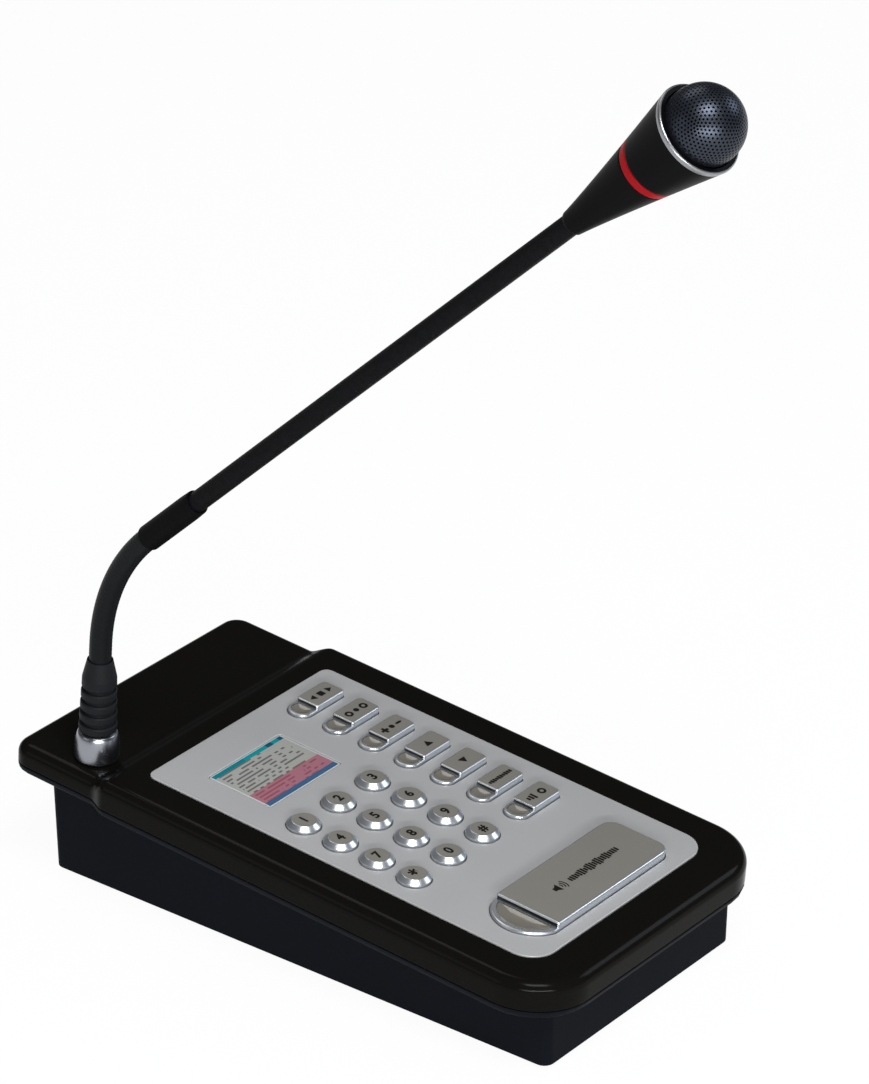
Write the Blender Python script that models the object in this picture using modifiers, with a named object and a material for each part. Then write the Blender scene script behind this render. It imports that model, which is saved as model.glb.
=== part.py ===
"""Paging microphone: a sloping desk console with a keypad, a display and a gooseneck microphone.

Metres, +Z up. The origin is on the table under the middle of the base, and the user sits on the -Y side.
"""

import math

import bmesh
import bpy
from mathutils import Matrix, Vector

MM = 0.001

# Clearances shared by every piece
gap = 0.3 * MM
overrun = 5.0 * MM
sink = 0.4 * MM
weld = 0.02 * MM

# Base, whose width follows from the cover's
cover_overhang = 12.1 * MM
base_length = 227.9 * MM
base_corner = 4.0 * MM
base_wall = 2.5 * MM
base_floor = 2.5 * MM
base_draft = math.radians(1.0)
foot_stand = 1.5 * MM
foot_radius = 6.0 * MM
foot_recess = 1.0 * MM
foot_side_inset = 11.4 * MM
foot_end_inset = 18.95 * MM

# Sloping deck, measured from the underside of the base at the middle of its length
deck_height = 45.9 * MM
deck_slope = math.radians(4.33)

# Top cover
cover_half_width = 67.5 * MM
cover_front = -124.0 * MM
cover_rear = 125.6 * MM
cover_front_corner = 24.0 * MM
cover_rear_corner = 8.0 * MM
cover_depth = 11.0 * MM
cover_wall = 2.5 * MM
cover_skin = 5.5 * MM
cover_edge = 4.5 * MM
rear_drop = 3.0 * MM
rear_inset = 3.0 * MM
ramp_front = 78.0 * MM
ramp_rear = 87.0 * MM
flange_depth = 3.6 * MM
flange_edge = 3.2 * MM

# Front panel
panel_half_width = 51.7 * MM
panel_front = -106.7 * MM
panel_rear = 70.8 * MM
panel_front_corner = 10.5 * MM
panel_rear_corner = 3.5 * MM
panel_thickness = 1.2 * MM
panel_proud = 0.3 * MM
well_half_width = 46.9 * MM
well_front = -102.0 * MM
well_rear = 65.3 * MM
well_corner = 3.0 * MM

# Display
screen_left = -37.6 * MM
screen_right = 3.0 * MM
screen_front = 24.3 * MM
screen_rear = 53.2 * MM
screen_corner = 0.8 * MM
screen_sunk = 0.2 * MM
module_border = 3.5 * MM

# Keys
key_travel = 1.2 * MM
key_flange = 1.0 * MM
key_flange_thickness = 0.8 * MM
row_pitch = 16.8 * MM
column_pitch = 19.8 * MM
number_left = -38.6 * MM
number_rear = 7.9 * MM
number_columns = 3
number_rows = 4
number_radius = 6.35 * MM
number_top_radius = 4.6 * MM
number_collar = 0.8 * MM
number_proud = 2.3 * MM
function_rear = 57.8 * MM
function_count = 7
function_left = 16.4 * MM
function_right = 40.8 * MM
function_step = 24.4 * MM
function_depth = 10.2 * MM
function_left_bulge = 3.8 * MM
function_right_corner = 1.8 * MM
function_proud = 2.5 * MM
bar_middle = -86.2 * MM
bar_left = -42.0 * MM
bar_right = 37.0 * MM
bar_step = -30.3 * MM
bar_depth = 28.0 * MM
bar_left_bulge = 9.8 * MM
bar_right_corner = 5.5 * MM
bar_proud = 3.0 * MM
bar_dome_shares = (0.3, 0.7)
key_shelf = 1.0 * MM
key_edge = 0.6 * MM
key_corner = 1.2 * MM
lens_border = 0.8 * MM
lens_depth = 0.7 * MM
lens_proud = 0.2 * MM

# Keypad board and its rubber mat
mat_thickness = 0.8 * MM
dome_height = 1.1 * MM
dome_radius = 3.8 * MM
dome_top_radius = 2.6 * MM
mat_margin = 0.6 * MM
board_thickness = 1.6 * MM
keypad_margin = 4.2 * MM
keypad_front_margin = -0.4 * MM
keypad_rear_margin = 2.6 * MM

# Moulded pegs that both boards are staked on
peg_radius = 1.0 * MM
peg_end = 0.8 * MM
peg_side_margin = 2.4 * MM
peg_rows = (-90.0 * MM, -10.0 * MM, 60.0 * MM)

# Case screws and their posts
post_inset = 9.4 * MM
post_front = -107.0 * MM
post_rear = 79.0 * MM
post_radius = 4.6 * MM
post_bore = 3.2 * MM
post_web = 3.0 * MM
boss_length = 8.0 * MM
boss_root = 1.2 * MM
screw_radius = 1.45 * MM
screw_head_radius = 2.8 * MM
screw_head = 2.0 * MM
screw_bite = 5.5 * MM

# Inside the base
ballast_inset = 2.0 * MM
ballast_front = -84.0 * MM
ballast_rear = -6.0 * MM
ballast_thickness = 3.0 * MM
board_side_gap = 1.4 * MM
board_front = 6.0 * MM
board_rear_gap = 1.5 * MM
standoff_radius = 3.0 * MM
standoff_height = 5.0 * MM
standoff_side_inset = 5.0 * MM
standoff_inset = 8.0 * MM

# Sockets in the rear wall
network_x = 18.0 * MM
network_width = 16.0 * MM
network_height = 13.5 * MM
network_length = 17.0 * MM
network_mouth_width = 11.9 * MM
network_mouth_height = 7.2 * MM
network_latch_width = 6.4 * MM
network_latch_height = 2.2 * MM
network_mouth_depth = 12.5 * MM
network_sill = 2.0 * MM
power_x = -12.0 * MM
power_width = 9.2 * MM
power_height = 11.0 * MM
power_length = 14.0 * MM
power_mouth_radius = 3.1 * MM
power_mouth_depth = 9.5 * MM
power_pin_radius = 1.0 * MM
socket_sunk = 0.6 * MM

# Gooseneck fixing
neck_inset = 16.8 * MM
neck_y = 95.3 * MM
stud_radius = 5.0 * MM
stud_bore = 2.2 * MM
stud_below = 8.0 * MM
stud_above = 7.6 * MM
lock_radius = 8.6 * MM
lock_thickness = 3.5 * MM
nut_radius = 8.3 * MM
nut_top_radius = 6.7 * MM
nut_height = 12.0 * MM
nut_skirt = 4.4 * MM
nut_chamfer = 0.6 * MM

# Boot
boot_top = 41.6 * MM
boot_radius = 7.1 * MM
boot_top_radius = 6.5 * MM
boot_groove = 1.2 * MM
boot_rings = 5
boot_ring_pitch = 4.6 * MM
boot_ring = 3.2 * MM
boot_shoulder = 7.2 * MM
boot_lip = 0.6 * MM
boot_neck_radius = 4.8 * MM

# Flexible conduit
conduit_radius = 4.15 * MM
conduit_straight = 5.9 * MM
conduit_bend_radius = 78.0 * MM
conduit_bend = math.radians(42.7)
conduit_steps = 12

# Arm
sleeve_length = 31.0 * MM
sleeve_radius = 4.85 * MM
sleeve_end_radius = 4.65 * MM
sleeve_taper = 5.0 * MM
sleeve_socket = 8.0 * MM
cable_bore = 2.4 * MM
tube_radius = 3.8 * MM
tube_wall = 0.9 * MM
tube_reach = 252.0 * MM

# Head, measured from where the tube enters it
head_length = 66.9 * MM
head_rim_radius = 16.2 * MM
head_start_radius = 4.45 * MM
head_flare = 1.087
head_socket = 9.0 * MM
light_start = 39.3 * MM
light_length = 3.4 * MM
spigot_radius = 7.0 * MM
spigot_length = 10.0 * MM
rim_round = 1.6 * MM
dome_sphere = 13.7 * MM
dome_offset = 2.3 * MM
dome_sheet = 0.8 * MM
dome_skirt = 4.5 * MM
capsule_radius = 6.0 * MM
capsule_length = 11.0 * MM
capsule_seat = 50.0 * MM
capsule_socket = 6.0 * MM

# Steps of the round parts
cover_corner_steps = 7
cover_rear_steps = 5
ramp_steps = 6
cover_edge_steps = 4
flange_edge_steps = 3
panel_corner_steps = 6

# Places that follow from the sizes above
base_width = 2 * (cover_half_width - cover_overhang)
foot_x = base_width / 2 - foot_side_inset
foot_y = base_length / 2 - foot_end_inset
post_x = base_width / 2 - post_inset
board_half_width = post_x - post_radius - board_side_gap
ballast_half_width = board_half_width - ballast_inset
standoff_x = board_half_width - standoff_side_inset
neck_x = neck_inset - cover_half_width
deck_level = foot_stand + deck_height
panel_under = panel_proud - panel_thickness
recess_floor = panel_under - gap
flange_top = panel_under - gap
flange_under = flange_top - key_flange_thickness
board_top = -cover_skin - gap
board_under = board_top - board_thickness
mat_under = board_top + gap
mat_top = mat_under + mat_thickness
rim_under = -cover_depth - gap - flange_depth
key_rows = [function_rear - row_pitch * row for row in range(function_count)]
number_places = [
    (number_left + column_pitch * column, number_rear - row_pitch * row)
    for row in range(number_rows)
    for column in range(number_columns)
]
main_board_under = foot_stand + base_floor + standoff_height + gap
main_board_top = main_board_under + board_thickness
rear_wall = base_length / 2 + (main_board_top - foot_stand) * math.tan(base_draft)


def clear_scene():
    for item in list(bpy.data.objects):
        bpy.data.objects.remove(item)


def new_collection(name):
    collection = bpy.data.collections.new(name)
    bpy.context.scene.collection.children.link(collection)
    return collection


clear_scene()
parts = new_collection("paging_microphone")
cutters = new_collection("cutters")
guides = new_collection("guides")


def empty(name, parent=None, location=(0, 0, 0), tilt=0.0):
    frame = bpy.data.objects.new(name, None)
    guides.objects.link(frame)
    frame.parent = parent
    frame.location = location
    frame.rotation_euler = (tilt, 0, 0)
    return frame


def material(name, color, roughness, metallic=0.0):
    surface = bpy.data.materials.new(name)
    surface.use_nodes = True
    shader = surface.node_tree.nodes["Principled BSDF"]
    shader.inputs["Base Color"].default_value = (*color, 1.0)
    shader.inputs["Roughness"].default_value = roughness
    shader.inputs["Metallic"].default_value = metallic
    return surface


black_plastic = material("black_plastic", (0.012, 0.012, 0.012), 0.42)
blue_black_plastic = material("blue_black_plastic", (0.013, 0.015, 0.02), 0.5)
silver_paint = material("silver_paint", (0.42, 0.42, 0.43), 0.38, 0.6)
silver_key = material("silver_key", (0.45, 0.44, 0.41), 0.3, 0.8)
clear_plastic = material("clear_plastic", (0.75, 0.77, 0.78), 0.15)
window_plastic = material("window_plastic", (0.3, 0.42, 0.46), 0.1)
rubber = material("rubber", (0.015, 0.015, 0.016), 0.75)
silicone = material("silicone", (0.3, 0.3, 0.3), 0.7)
circuit_board = material("circuit_board", (0.02, 0.12, 0.05), 0.5)
plain_steel = material("plain_steel", (0.45, 0.45, 0.46), 0.35, 1.0)
chrome = material("chrome", (0.75, 0.76, 0.78), 0.12, 1.0)
black_metal = material("black_metal", (0.015, 0.015, 0.017), 0.4, 0.3)
red_light = material("red_light", (0.4, 0.01, 0.015), 0.3)
grille_metal = material("grille_metal", (0.05, 0.052, 0.058), 0.35, 0.9)


def place(body, parent, location=(0, 0, 0)):
    body.parent = parent
    body.location = location
    return body


def as_part(body, surface, smooth=30.0):
    """Makes the object a named part, with its material and smooth round faces."""
    body.data.materials.clear()
    body.data.materials.append(surface)
    body.data.shade_smooth()
    body.data.set_sharp_from_angle(angle=math.radians(smooth))
    for other in list(body.users_collection):
        other.objects.unlink(body)
    parts.objects.link(body)
    return body


def as_cutter(body):
    body.hide_render = True
    body.display_type = "WIRE"
    for other in list(body.users_collection):
        other.objects.unlink(body)
    cutters.objects.link(body)
    return body


def from_bmesh(name, shape):
    mesh = bpy.data.meshes.new(name)
    bmesh.ops.recalc_face_normals(shape, faces=shape.faces)
    shape.to_mesh(mesh)
    shape.free()
    body = bpy.data.objects.new(name, mesh)
    parts.objects.link(body)
    return body


def boolean(body, cutter, operation="DIFFERENCE"):
    """Cuts the body with the cutter, or joins the two, and applies the result to the body's mesh."""
    as_cutter(cutter)
    modifier = body.modifiers.new(operation.lower(), "BOOLEAN")
    modifier.operation = operation
    modifier.solver = "EXACT"
    modifier.object = cutter
    return realise(body)


def realise(body):
    bpy.context.view_layer.update()
    evaluated = body.evaluated_get(bpy.context.evaluated_depsgraph_get())
    mesh = bpy.data.meshes.new_from_object(evaluated)
    body.modifiers.clear()
    body.data = mesh
    return body


def join(body, others):
    """Joins overlapping solids to the body, one after another."""
    for other in others:
        boolean(body, other, "UNION")
    return body


def cylinder(name, radius, low, high, x=0.0, y=0.0, sides=16, top_radius=None):
    shape = bmesh.new()
    bmesh.ops.create_cone(
        shape,
        cap_ends=True,
        segments=sides,
        radius1=radius,
        radius2=radius if top_radius is None else top_radius,
        depth=high - low,
        matrix=Matrix.Translation((x, y, (low + high) / 2)),
    )
    return from_bmesh(name, shape)


def merge(name, bodies):
    """Puts separate solids into one object, each at its own place."""
    bpy.context.view_layer.update()
    shape = bmesh.new()
    for body in bodies:
        piece = body.data.copy()
        piece.transform(body.matrix_basis)
        shape.from_mesh(piece)
        bpy.data.meshes.remove(piece)
        bpy.data.objects.remove(body)
    return from_bmesh(name, shape)


def box(name, low, high):
    shape = bmesh.new()
    size = Vector(high) - Vector(low)
    middle = (Vector(high) + Vector(low)) / 2
    bmesh.ops.create_cube(
        shape, size=1.0, matrix=Matrix.Translation(middle) @ Matrix.Diagonal((*size, 1.0))
    )
    return from_bmesh(name, shape)


def tapered_box(name, width, length, low, high, corner):
    """A box with the base's draft: wider towards the top, with rounded upright edges."""
    body = box(name, (-width / 2, -length / 2, low), (width / 2, length / 2, high))
    spread = (high - low) * math.tan(base_draft)
    shape = bmesh.new()
    shape.from_mesh(body.data)
    for vertex in shape.verts:
        if vertex.co.z > (low + high) / 2:
            vertex.co.x += math.copysign(spread, vertex.co.x)
            vertex.co.y += math.copysign(spread, vertex.co.y)
    upright = [edge for edge in shape.edges if abs(edge.verts[0].co.z - edge.verts[1].co.z) > (high - low) / 2]
    bmesh.ops.bevel(shape, geom=upright, offset=corner, segments=5, profile=0.5, affect="EDGES")
    shape.to_mesh(body.data)
    shape.free()
    return body


def arc(centre_x, centre_y, radius, start, end, steps):
    """Points along a circle's arc, in degrees, both ends included."""
    points = []
    for step in range(steps + 1):
        angle = math.radians(start + (end - start) * step / steps)
        points.append((centre_x + radius * math.cos(angle), centre_y + radius * math.sin(angle)))
    return points


def rounded_outline(left, right, front, rear, front_corner, rear_corner, steps=5):
    """A rectangle's outline with one radius at its two front corners and one at its two rear corners."""
    return (
        arc(right - rear_corner, rear - rear_corner, rear_corner, 0, 90, steps)
        + arc(left + rear_corner, rear - rear_corner, rear_corner, 90, 180, steps)
        + arc(left + front_corner, front + front_corner, front_corner, 180, 270, steps)
        + arc(right - front_corner, front + front_corner, front_corner, 270, 360, steps)
    )


def circle(x, y, radius, sides=18):
    return arc(x, y, radius, 0, 360, sides)[:-1]


def slab(name, outlines, low, high):
    """A flat solid: the first outline is its edge, and the others are holes through it."""
    curve = bpy.data.curves.new(name, "CURVE")
    curve.dimensions = "2D"
    curve.fill_mode = "BOTH"
    curve.extrude = (high - low) / 2
    for outline in outlines:
        spline = curve.splines.new("POLY")
        spline.points.add(len(outline) - 1)
        for point, (x, y) in zip(spline.points, outline):
            point.co = (x, y, 0, 1)
        spline.use_cyclic_u = True
    drawn = bpy.data.objects.new(name + "_outline", curve)
    guides.objects.link(drawn)
    bpy.context.view_layer.update()
    mesh = bpy.data.meshes.new_from_object(drawn.evaluated_get(bpy.context.evaluated_depsgraph_get()))
    bpy.data.objects.remove(drawn)
    shape = bmesh.new()
    shape.from_mesh(mesh)
    bpy.data.meshes.remove(mesh)
    bmesh.ops.remove_doubles(shape, verts=shape.verts, dist=weld)
    bmesh.ops.translate(shape, verts=shape.verts, vec=(0, 0, (low + high) / 2))
    bmesh.ops.dissolve_limit(shape, angle_limit=math.radians(1), verts=shape.verts, edges=shape.edges)
    return from_bmesh(name, shape)


def round_edges(body, level, width, segments=3):
    """Rounds the sharp edges that lie at one height of the body."""
    shape = bmesh.new()
    shape.from_mesh(body.data)
    edges = [
        edge
        for edge in shape.edges
        if all(abs(vertex.co.z - level) < sink / 4 for vertex in edge.verts)
        and edge.calc_face_angle(0.0) > math.radians(40)
    ]
    bmesh.ops.bevel(shape, geom=edges, offset=width, segments=segments, profile=0.5, affect="EDGES")
    shape.to_mesh(body.data)
    shape.free()
    return body


def turned(name, profile, steps=20):
    """A solid of revolution about Z. The profile runs down the outer side, and back up a bore if it has one."""
    shape = bmesh.new()
    vertices = [shape.verts.new((radius, 0, height)) for radius, height in profile]
    for first, second in zip(vertices, vertices[1:]):
        shape.edges.new((first, second))
    if profile[0][0] > 0:
        shape.edges.new((vertices[-1], vertices[0]))
    mesh = bpy.data.meshes.new(name)
    shape.to_mesh(mesh)
    shape.free()
    body = bpy.data.objects.new(name, mesh)
    parts.objects.link(body)
    screw = body.modifiers.new("turn", "SCREW")
    screw.steps = steps
    screw.render_steps = steps
    screw.use_merge_vertices = True
    screw.merge_threshold = weld
    screw.use_smooth_shade = True
    realise(body)
    shape = bmesh.new()
    shape.from_mesh(body.data)
    bmesh.ops.remove_doubles(shape, verts=shape.verts, dist=weld)
    bmesh.ops.recalc_face_normals(shape, faces=shape.faces)
    shape.to_mesh(body.data)
    shape.free()
    return body


world_frame = empty("world_frame")
deck_frame = empty("deck_frame", location=(0, 0, deck_level), tilt=deck_slope)
neck_along = (neck_y - rear_drop * math.sin(deck_slope)) / math.cos(deck_slope)
neck_frame = empty("neck_frame", deck_frame, (neck_x, neck_along, -rear_drop))
arm_location = (
    0,
    -conduit_bend_radius * (1 - math.cos(conduit_bend)),
    boot_top + conduit_straight + conduit_bend_radius * math.sin(conduit_bend),
)
arm_frame = empty("arm_frame", neck_frame, arm_location, conduit_bend)
head_frame = empty("head_frame", arm_frame, (0, 0, tube_reach))


def cover_outline(inset=0.0):
    """The cover's edge: wide along the front deck, and drawn in by an S-curve to the lower rear deck."""
    half = cover_half_width - inset
    corner = cover_front_corner - inset
    rear_corner = cover_rear_corner - inset
    rear_half = half - rear_inset
    front = cover_front + inset
    rear = cover_rear - inset
    side = arc(half - corner, front + corner, corner, -90, 0, cover_corner_steps)
    for step in range(ramp_steps + 1):
        share = step / ramp_steps
        easing = share * share * (3 - 2 * share)
        side.append((half - rear_inset * easing, ramp_front + (ramp_rear - ramp_front) * share))
    side += arc(rear_half - rear_corner, rear - rear_corner, rear_corner, 0, 90, cover_rear_steps)
    return side + [(-x, y) for x, y in reversed(side)]


def ramp_drop(y):
    """How far the deck lies below its front level at y: nothing, then an S-curve down to the rear deck."""
    share = min(max((y - ramp_front) / (ramp_rear - ramp_front), 0.0), 1.0)
    return rear_drop * share * share * (3 - 2 * share)


def loft(name, rings):
    """A closed solid through rings of as many points each. Strips from side to side close both ends."""
    shape = bmesh.new()
    loops = [[shape.verts.new(point) for point in ring] for ring in rings]
    count = len(loops[0])
    for lower, upper in zip(loops, loops[1:]):
        for index in range(count):
            after = (index + 1) % count
            shape.faces.new((lower[index], lower[after], upper[after], upper[index]))
    for loop in (loops[0], loops[-1]):
        for index in range(count // 2 - 1):
            shape.faces.new((loop[index], loop[index + 1], loop[-2 - index], loop[-1 - index]))
    return from_bmesh(name, shape)


def quarter_round(radius, steps):
    """Inset and depth of points round an edge, from its upright side to its flat side."""
    angles = [math.radians(90 * step / steps) for step in range(steps + 1)]
    return [(radius * (1 - math.cos(angle)), radius * (1 - math.sin(angle))) for angle in angles]


def cover_rings():
    """The cover from its lower edge up its side, round the top edge and onto the deck."""
    rings = [[(x, y, -cover_depth) for x, y in cover_outline()]]
    for inset, depth in quarter_round(cover_edge, cover_edge_steps):
        rings.append([(x, y, -ramp_drop(y) - depth) for x, y in cover_outline(inset)])
    return rings


def flange_rings():
    """The base's flange under the cover, with a rounded lower edge."""
    rings = [[(x, y, -cover_depth - gap) for x, y in cover_outline()]]
    for inset, depth in quarter_round(flange_edge, flange_edge_steps):
        rings.append([(x, y, rim_under + depth) for x, y in cover_outline(inset)])
    return rings


def base_shell():
    tall = deck_level + base_length * math.tan(deck_slope)
    body = tapered_box("base_shell", base_width, base_length, foot_stand, tall, base_corner)
    body.parent = world_frame
    reach = base_length
    above = box("above_base", (-reach, -reach, -cover_depth - gap), (reach, reach, reach))
    boolean(body, place(above, deck_frame))
    flange = loft("flange", flange_rings())
    boolean(body, place(flange, deck_frame), "UNION")
    floor = foot_stand + base_floor
    cavity = tapered_box(
        "cavity",
        base_width - 2 * base_wall,
        base_length - 2 * base_wall,
        floor,
        tall,
        base_corner - base_wall,
    )
    boolean(body, cavity)
    posts = [
        cylinder("post", post_radius, foot_stand + sink, top - gap, x, y)
        for x, y, top in post_places()
    ]
    standoffs = [
        cylinder("standoff", standoff_radius, floor - sink, floor + standoff_height, x, y, 12)
        for x, y in standoff_places()
    ]
    join(body, posts + standoffs)
    for x, y, top in post_places():
        web = top - gap - post_web
        boolean(body, cylinder("post_bore", post_bore, foot_stand - overrun, web, x, y))
        boolean(body, cylinder("post_hole", screw_radius + gap, web - sink, top + overrun, x, y, 12))
    top = floor + standoff_height
    for x, y in standoff_places():
        boolean(body, cylinder("peg", peg_radius, top - sink, main_board_top + peg_end, x, y, 12), "UNION")
    for x, y in foot_places():
        recess = cylinder("recess", foot_radius + gap, foot_stand - overrun, foot_stand + foot_recess, x, y, 20)
        boolean(body, recess)
    for low, high in socket_boxes():
        cut_low = (low[0] - gap, rear_wall - base_wall - overrun, low[2] - gap)
        cut_high = (high[0] + gap, rear_wall + overrun, high[2] + gap)
        boolean(body, box("socket_cut", cut_low, cut_high))
    return as_part(body, blue_black_plastic)


def foot_places():
    return [(x, y) for x in (-foot_x, foot_x) for y in (-foot_y, foot_y)]


def standoff_places():
    rear = base_length / 2 - base_wall - board_rear_gap
    rows = (board_front + standoff_inset, rear - standoff_inset)
    return [(x, y) for x in (-standoff_x, standoff_x) for y in rows]


def post_places():
    """Where the case screws go, with the level of the cover's boss that each one meets."""
    places = []
    for x in (-post_x, post_x):
        for y in (post_front, post_rear):
            ceiling = deck_level + y * math.tan(deck_slope) - cover_skin / math.cos(deck_slope)
            places.append((x, y, ceiling - boss_length))
    return places


def socket_boxes():
    floor = main_board_top + gap
    rear = rear_wall - socket_sunk
    network = (
        (network_x - network_width / 2, rear - network_length, floor),
        (network_x + network_width / 2, rear, floor + network_height),
    )
    power = (
        (power_x - power_width / 2, rear - power_length, floor),
        (power_x + power_width / 2, rear, floor + power_height),
    )
    return network, power


def top_cover():
    body = loft("top_cover", cover_rings())
    place(body, deck_frame)
    pocket = slab("pocket", [cover_outline(cover_wall)], -cover_depth - overrun, -cover_skin)
    boolean(body, place(pocket, deck_frame))
    bosses = []
    for x, y, low in post_places():
        bosses.append(cylinder("boss", post_radius, low, low + boss_length + boss_root, x, y))
    join(body, bosses)
    for x, y, low in post_places():
        hole = cylinder("boss_hole", screw_radius + gap, low - overrun, low + screw_bite + gap, x, y, 12)
        boolean(body, hole)
    recess_edge = rounded_outline(
        -panel_half_width - gap,
        panel_half_width + gap,
        panel_front - gap,
        panel_rear + gap,
        panel_front_corner + gap,
        panel_rear_corner + gap,
        panel_corner_steps,
    )
    recess = slab("recess", [recess_edge], recess_floor, panel_proud + overrun)
    boolean(body, place(recess, deck_frame))
    well_edge = rounded_outline(
        -well_half_width, well_half_width, well_front, well_rear, well_corner, well_corner, 3
    )
    well = slab("well", [well_edge], -cover_skin - overrun, recess_floor + overrun)
    boolean(body, place(well, deck_frame))
    for x, y in keypad_peg_places():
        peg = cylinder("peg", peg_radius, board_under - peg_end, sink - cover_skin, x, y, 12)
        boolean(body, place(peg, deck_frame), "UNION")
    hole = cylinder("neck_hole", stud_radius + gap, -overrun - cover_skin, overrun, 0, 0, 24)
    boolean(body, place(hole, neck_frame))
    return as_part(body, black_plastic)


def keypad_peg_places():
    side = well_half_width + peg_side_margin
    return [(x, y) for x in (-side, side) for y in peg_rows]


def key_outline(left, right, middle, depth, left_bulge, right_corner, grow=0.0):
    """A key's edge: a round nose on the left, straight long sides and rounded corners on the right."""
    half = depth / 2
    return square_end(right, middle, half, right_corner, grow) + nose_end(
        left + left_bulge, middle, half + grow, left_bulge + grow
    )


def nose_end(chord, middle, half, bulge, steps=5):
    """An arc that closes a strip's left end: its chord spans the strip and it stands out by the bulge."""
    radius = (half * half + bulge * bulge) / (2 * bulge)
    spread = math.degrees(math.asin(min(half / radius, 1.0)))
    return arc(chord - bulge + radius, middle, radius, 180 - spread, 180 + spread, steps)


def square_end(right, middle, half, corner, grow=0.0, steps=3):
    """The straight right end of a strip, with its two corners rounded."""
    front = arc(right - corner, middle - half + corner, corner + grow, -90, 0, steps)
    return front + arc(right - corner, middle + half - corner, corner + grow, 0, 90, steps)


def function_outline(middle, grow=0.0):
    return key_outline(
        function_left,
        function_right,
        middle,
        function_depth,
        function_left_bulge,
        function_right_corner,
        grow,
    )


def bar_outline(middle, grow=0.0):
    return key_outline(bar_left, bar_right, middle, bar_depth, bar_left_bulge, bar_right_corner, grow)


def front_panel():
    edge = rounded_outline(
        -panel_half_width,
        panel_half_width,
        panel_front,
        panel_rear,
        panel_front_corner,
        panel_rear_corner,
        panel_corner_steps,
    )
    holes = [circle(x, y, number_radius + gap) for x, y in number_places]
    holes += [function_outline(row, gap) for row in key_rows]
    holes.append(bar_outline(bar_middle, gap))
    holes.append(screen_outline(gap))
    body = slab("front_panel", [edge] + holes, panel_under, panel_proud)
    return as_part(place(body, deck_frame), silver_paint)


def screen_outline(grow=0.0):
    corner = screen_corner + grow
    return rounded_outline(
        screen_left - grow, screen_right + grow, screen_front - grow, screen_rear + grow, corner, corner, 2
    )


def display_window():
    body = slab("display_window", [screen_outline()], panel_under, panel_proud - screen_sunk)
    return as_part(place(body, deck_frame), window_plastic)


def display_module():
    low = (screen_left - module_border, screen_front - module_border, mat_under)
    high = (screen_right + module_border, screen_rear + module_border, panel_under - gap)
    return as_part(place(box("display_module", low, high), deck_frame), plain_steel)


def key_mat():
    """A silicone sheet on the board, with a hollow place for the display and a dome under each key."""
    edge = rounded_outline(
        -well_half_width + mat_margin,
        well_half_width - mat_margin,
        well_front + mat_margin,
        well_rear - mat_margin,
        well_corner,
        well_corner,
        3,
    )
    grow = module_border + mat_margin
    hole = rounded_outline(
        screen_left - grow, screen_right + grow, screen_front - grow, screen_rear + grow, mat_margin, mat_margin, 1
    )
    body = slab("key_mat", [edge, hole], mat_under, mat_top)
    places = list(number_places)
    places += [((function_left + function_right) / 2, row) for row in key_rows]
    places += [(bar_left + (bar_right - bar_left) * share, bar_middle) for share in bar_dome_shares]
    domes = [
        cylinder("dome", dome_radius, mat_top - sink, mat_top + dome_height, x, y, 8, dome_top_radius)
        for x, y in places
    ]
    boolean(body, merge("domes", domes), "UNION")
    return as_part(place(body, deck_frame), silicone)


def keypad_board():
    edge = rounded_outline(
        -well_half_width - keypad_margin,
        well_half_width + keypad_margin,
        well_front - keypad_front_margin,
        well_rear + keypad_rear_margin,
        well_corner,
        well_corner,
        2,
    )
    holes = [circle(x, y, peg_radius + gap, 12) for x, y in keypad_peg_places()]
    body = slab("keypad_board", [edge] + holes, board_under, board_top)
    return as_part(place(body, deck_frame), circuit_board)


def main_board():
    rear = base_length / 2 - base_wall - board_rear_gap
    edge = rounded_outline(-board_half_width, board_half_width, board_front, rear, mat_margin, mat_margin, 1)
    holes = [circle(x, y, peg_radius + gap, 12) for x, y in standoff_places()]
    body = slab("main_board", [edge] + holes, main_board_under, main_board_top)
    return as_part(place(body, world_frame), circuit_board)


def ballast_plate():
    low = foot_stand + base_floor + gap
    body = box(
        "ballast_plate",
        (-ballast_half_width, ballast_front, low),
        (ballast_half_width, ballast_rear, low + ballast_thickness),
    )
    return as_part(place(body, world_frame), plain_steel)


def network_socket():
    """A modular socket with its plug's mouth and the notch for the plug's latch."""
    low, high = socket_boxes()[0]
    body = box("network_socket", low, high)
    mouth_floor = low[2] + network_sill + network_latch_height
    inner = high[1] - network_mouth_depth
    mouth = box(
        "mouth",
        (network_x - network_mouth_width / 2, inner, mouth_floor),
        (network_x + network_mouth_width / 2, high[1] + overrun, mouth_floor + network_mouth_height),
    )
    latch = box(
        "latch",
        (network_x - network_latch_width / 2, inner, low[2] + network_sill),
        (network_x + network_latch_width / 2, high[1] + overrun, mouth_floor + sink),
    )
    boolean(body, mouth)
    boolean(body, latch)
    return as_part(place(body, world_frame), black_plastic)


def power_socket():
    """A barrel socket: a round mouth with a centre pin."""
    low, high = socket_boxes()[1]
    body = box("power_socket", low, high)
    middle = (low[2] + high[2]) / 2
    facing = Matrix.Translation((power_x, high[1], middle)) @ Matrix.Rotation(math.radians(90), 4, "X")
    mouth = cylinder("mouth", power_mouth_radius, -overrun, power_mouth_depth)
    mouth.data.transform(facing)
    pin_body = cylinder("contact", power_pin_radius, socket_sunk, power_mouth_depth + sink, sides=12)
    pin_body.data.transform(facing)
    boolean(body, mouth)
    boolean(body, pin_body, "UNION")
    return as_part(place(body, world_frame), black_plastic)


def rubber_feet():
    for index, (x, y) in enumerate(foot_places()):
        foot = cylinder(f"rubber_foot_{index + 1}", foot_radius, 0, foot_stand + foot_recess - gap, sides=20)
        as_part(place(foot, world_frame, (x, y, 0)), rubber)


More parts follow.
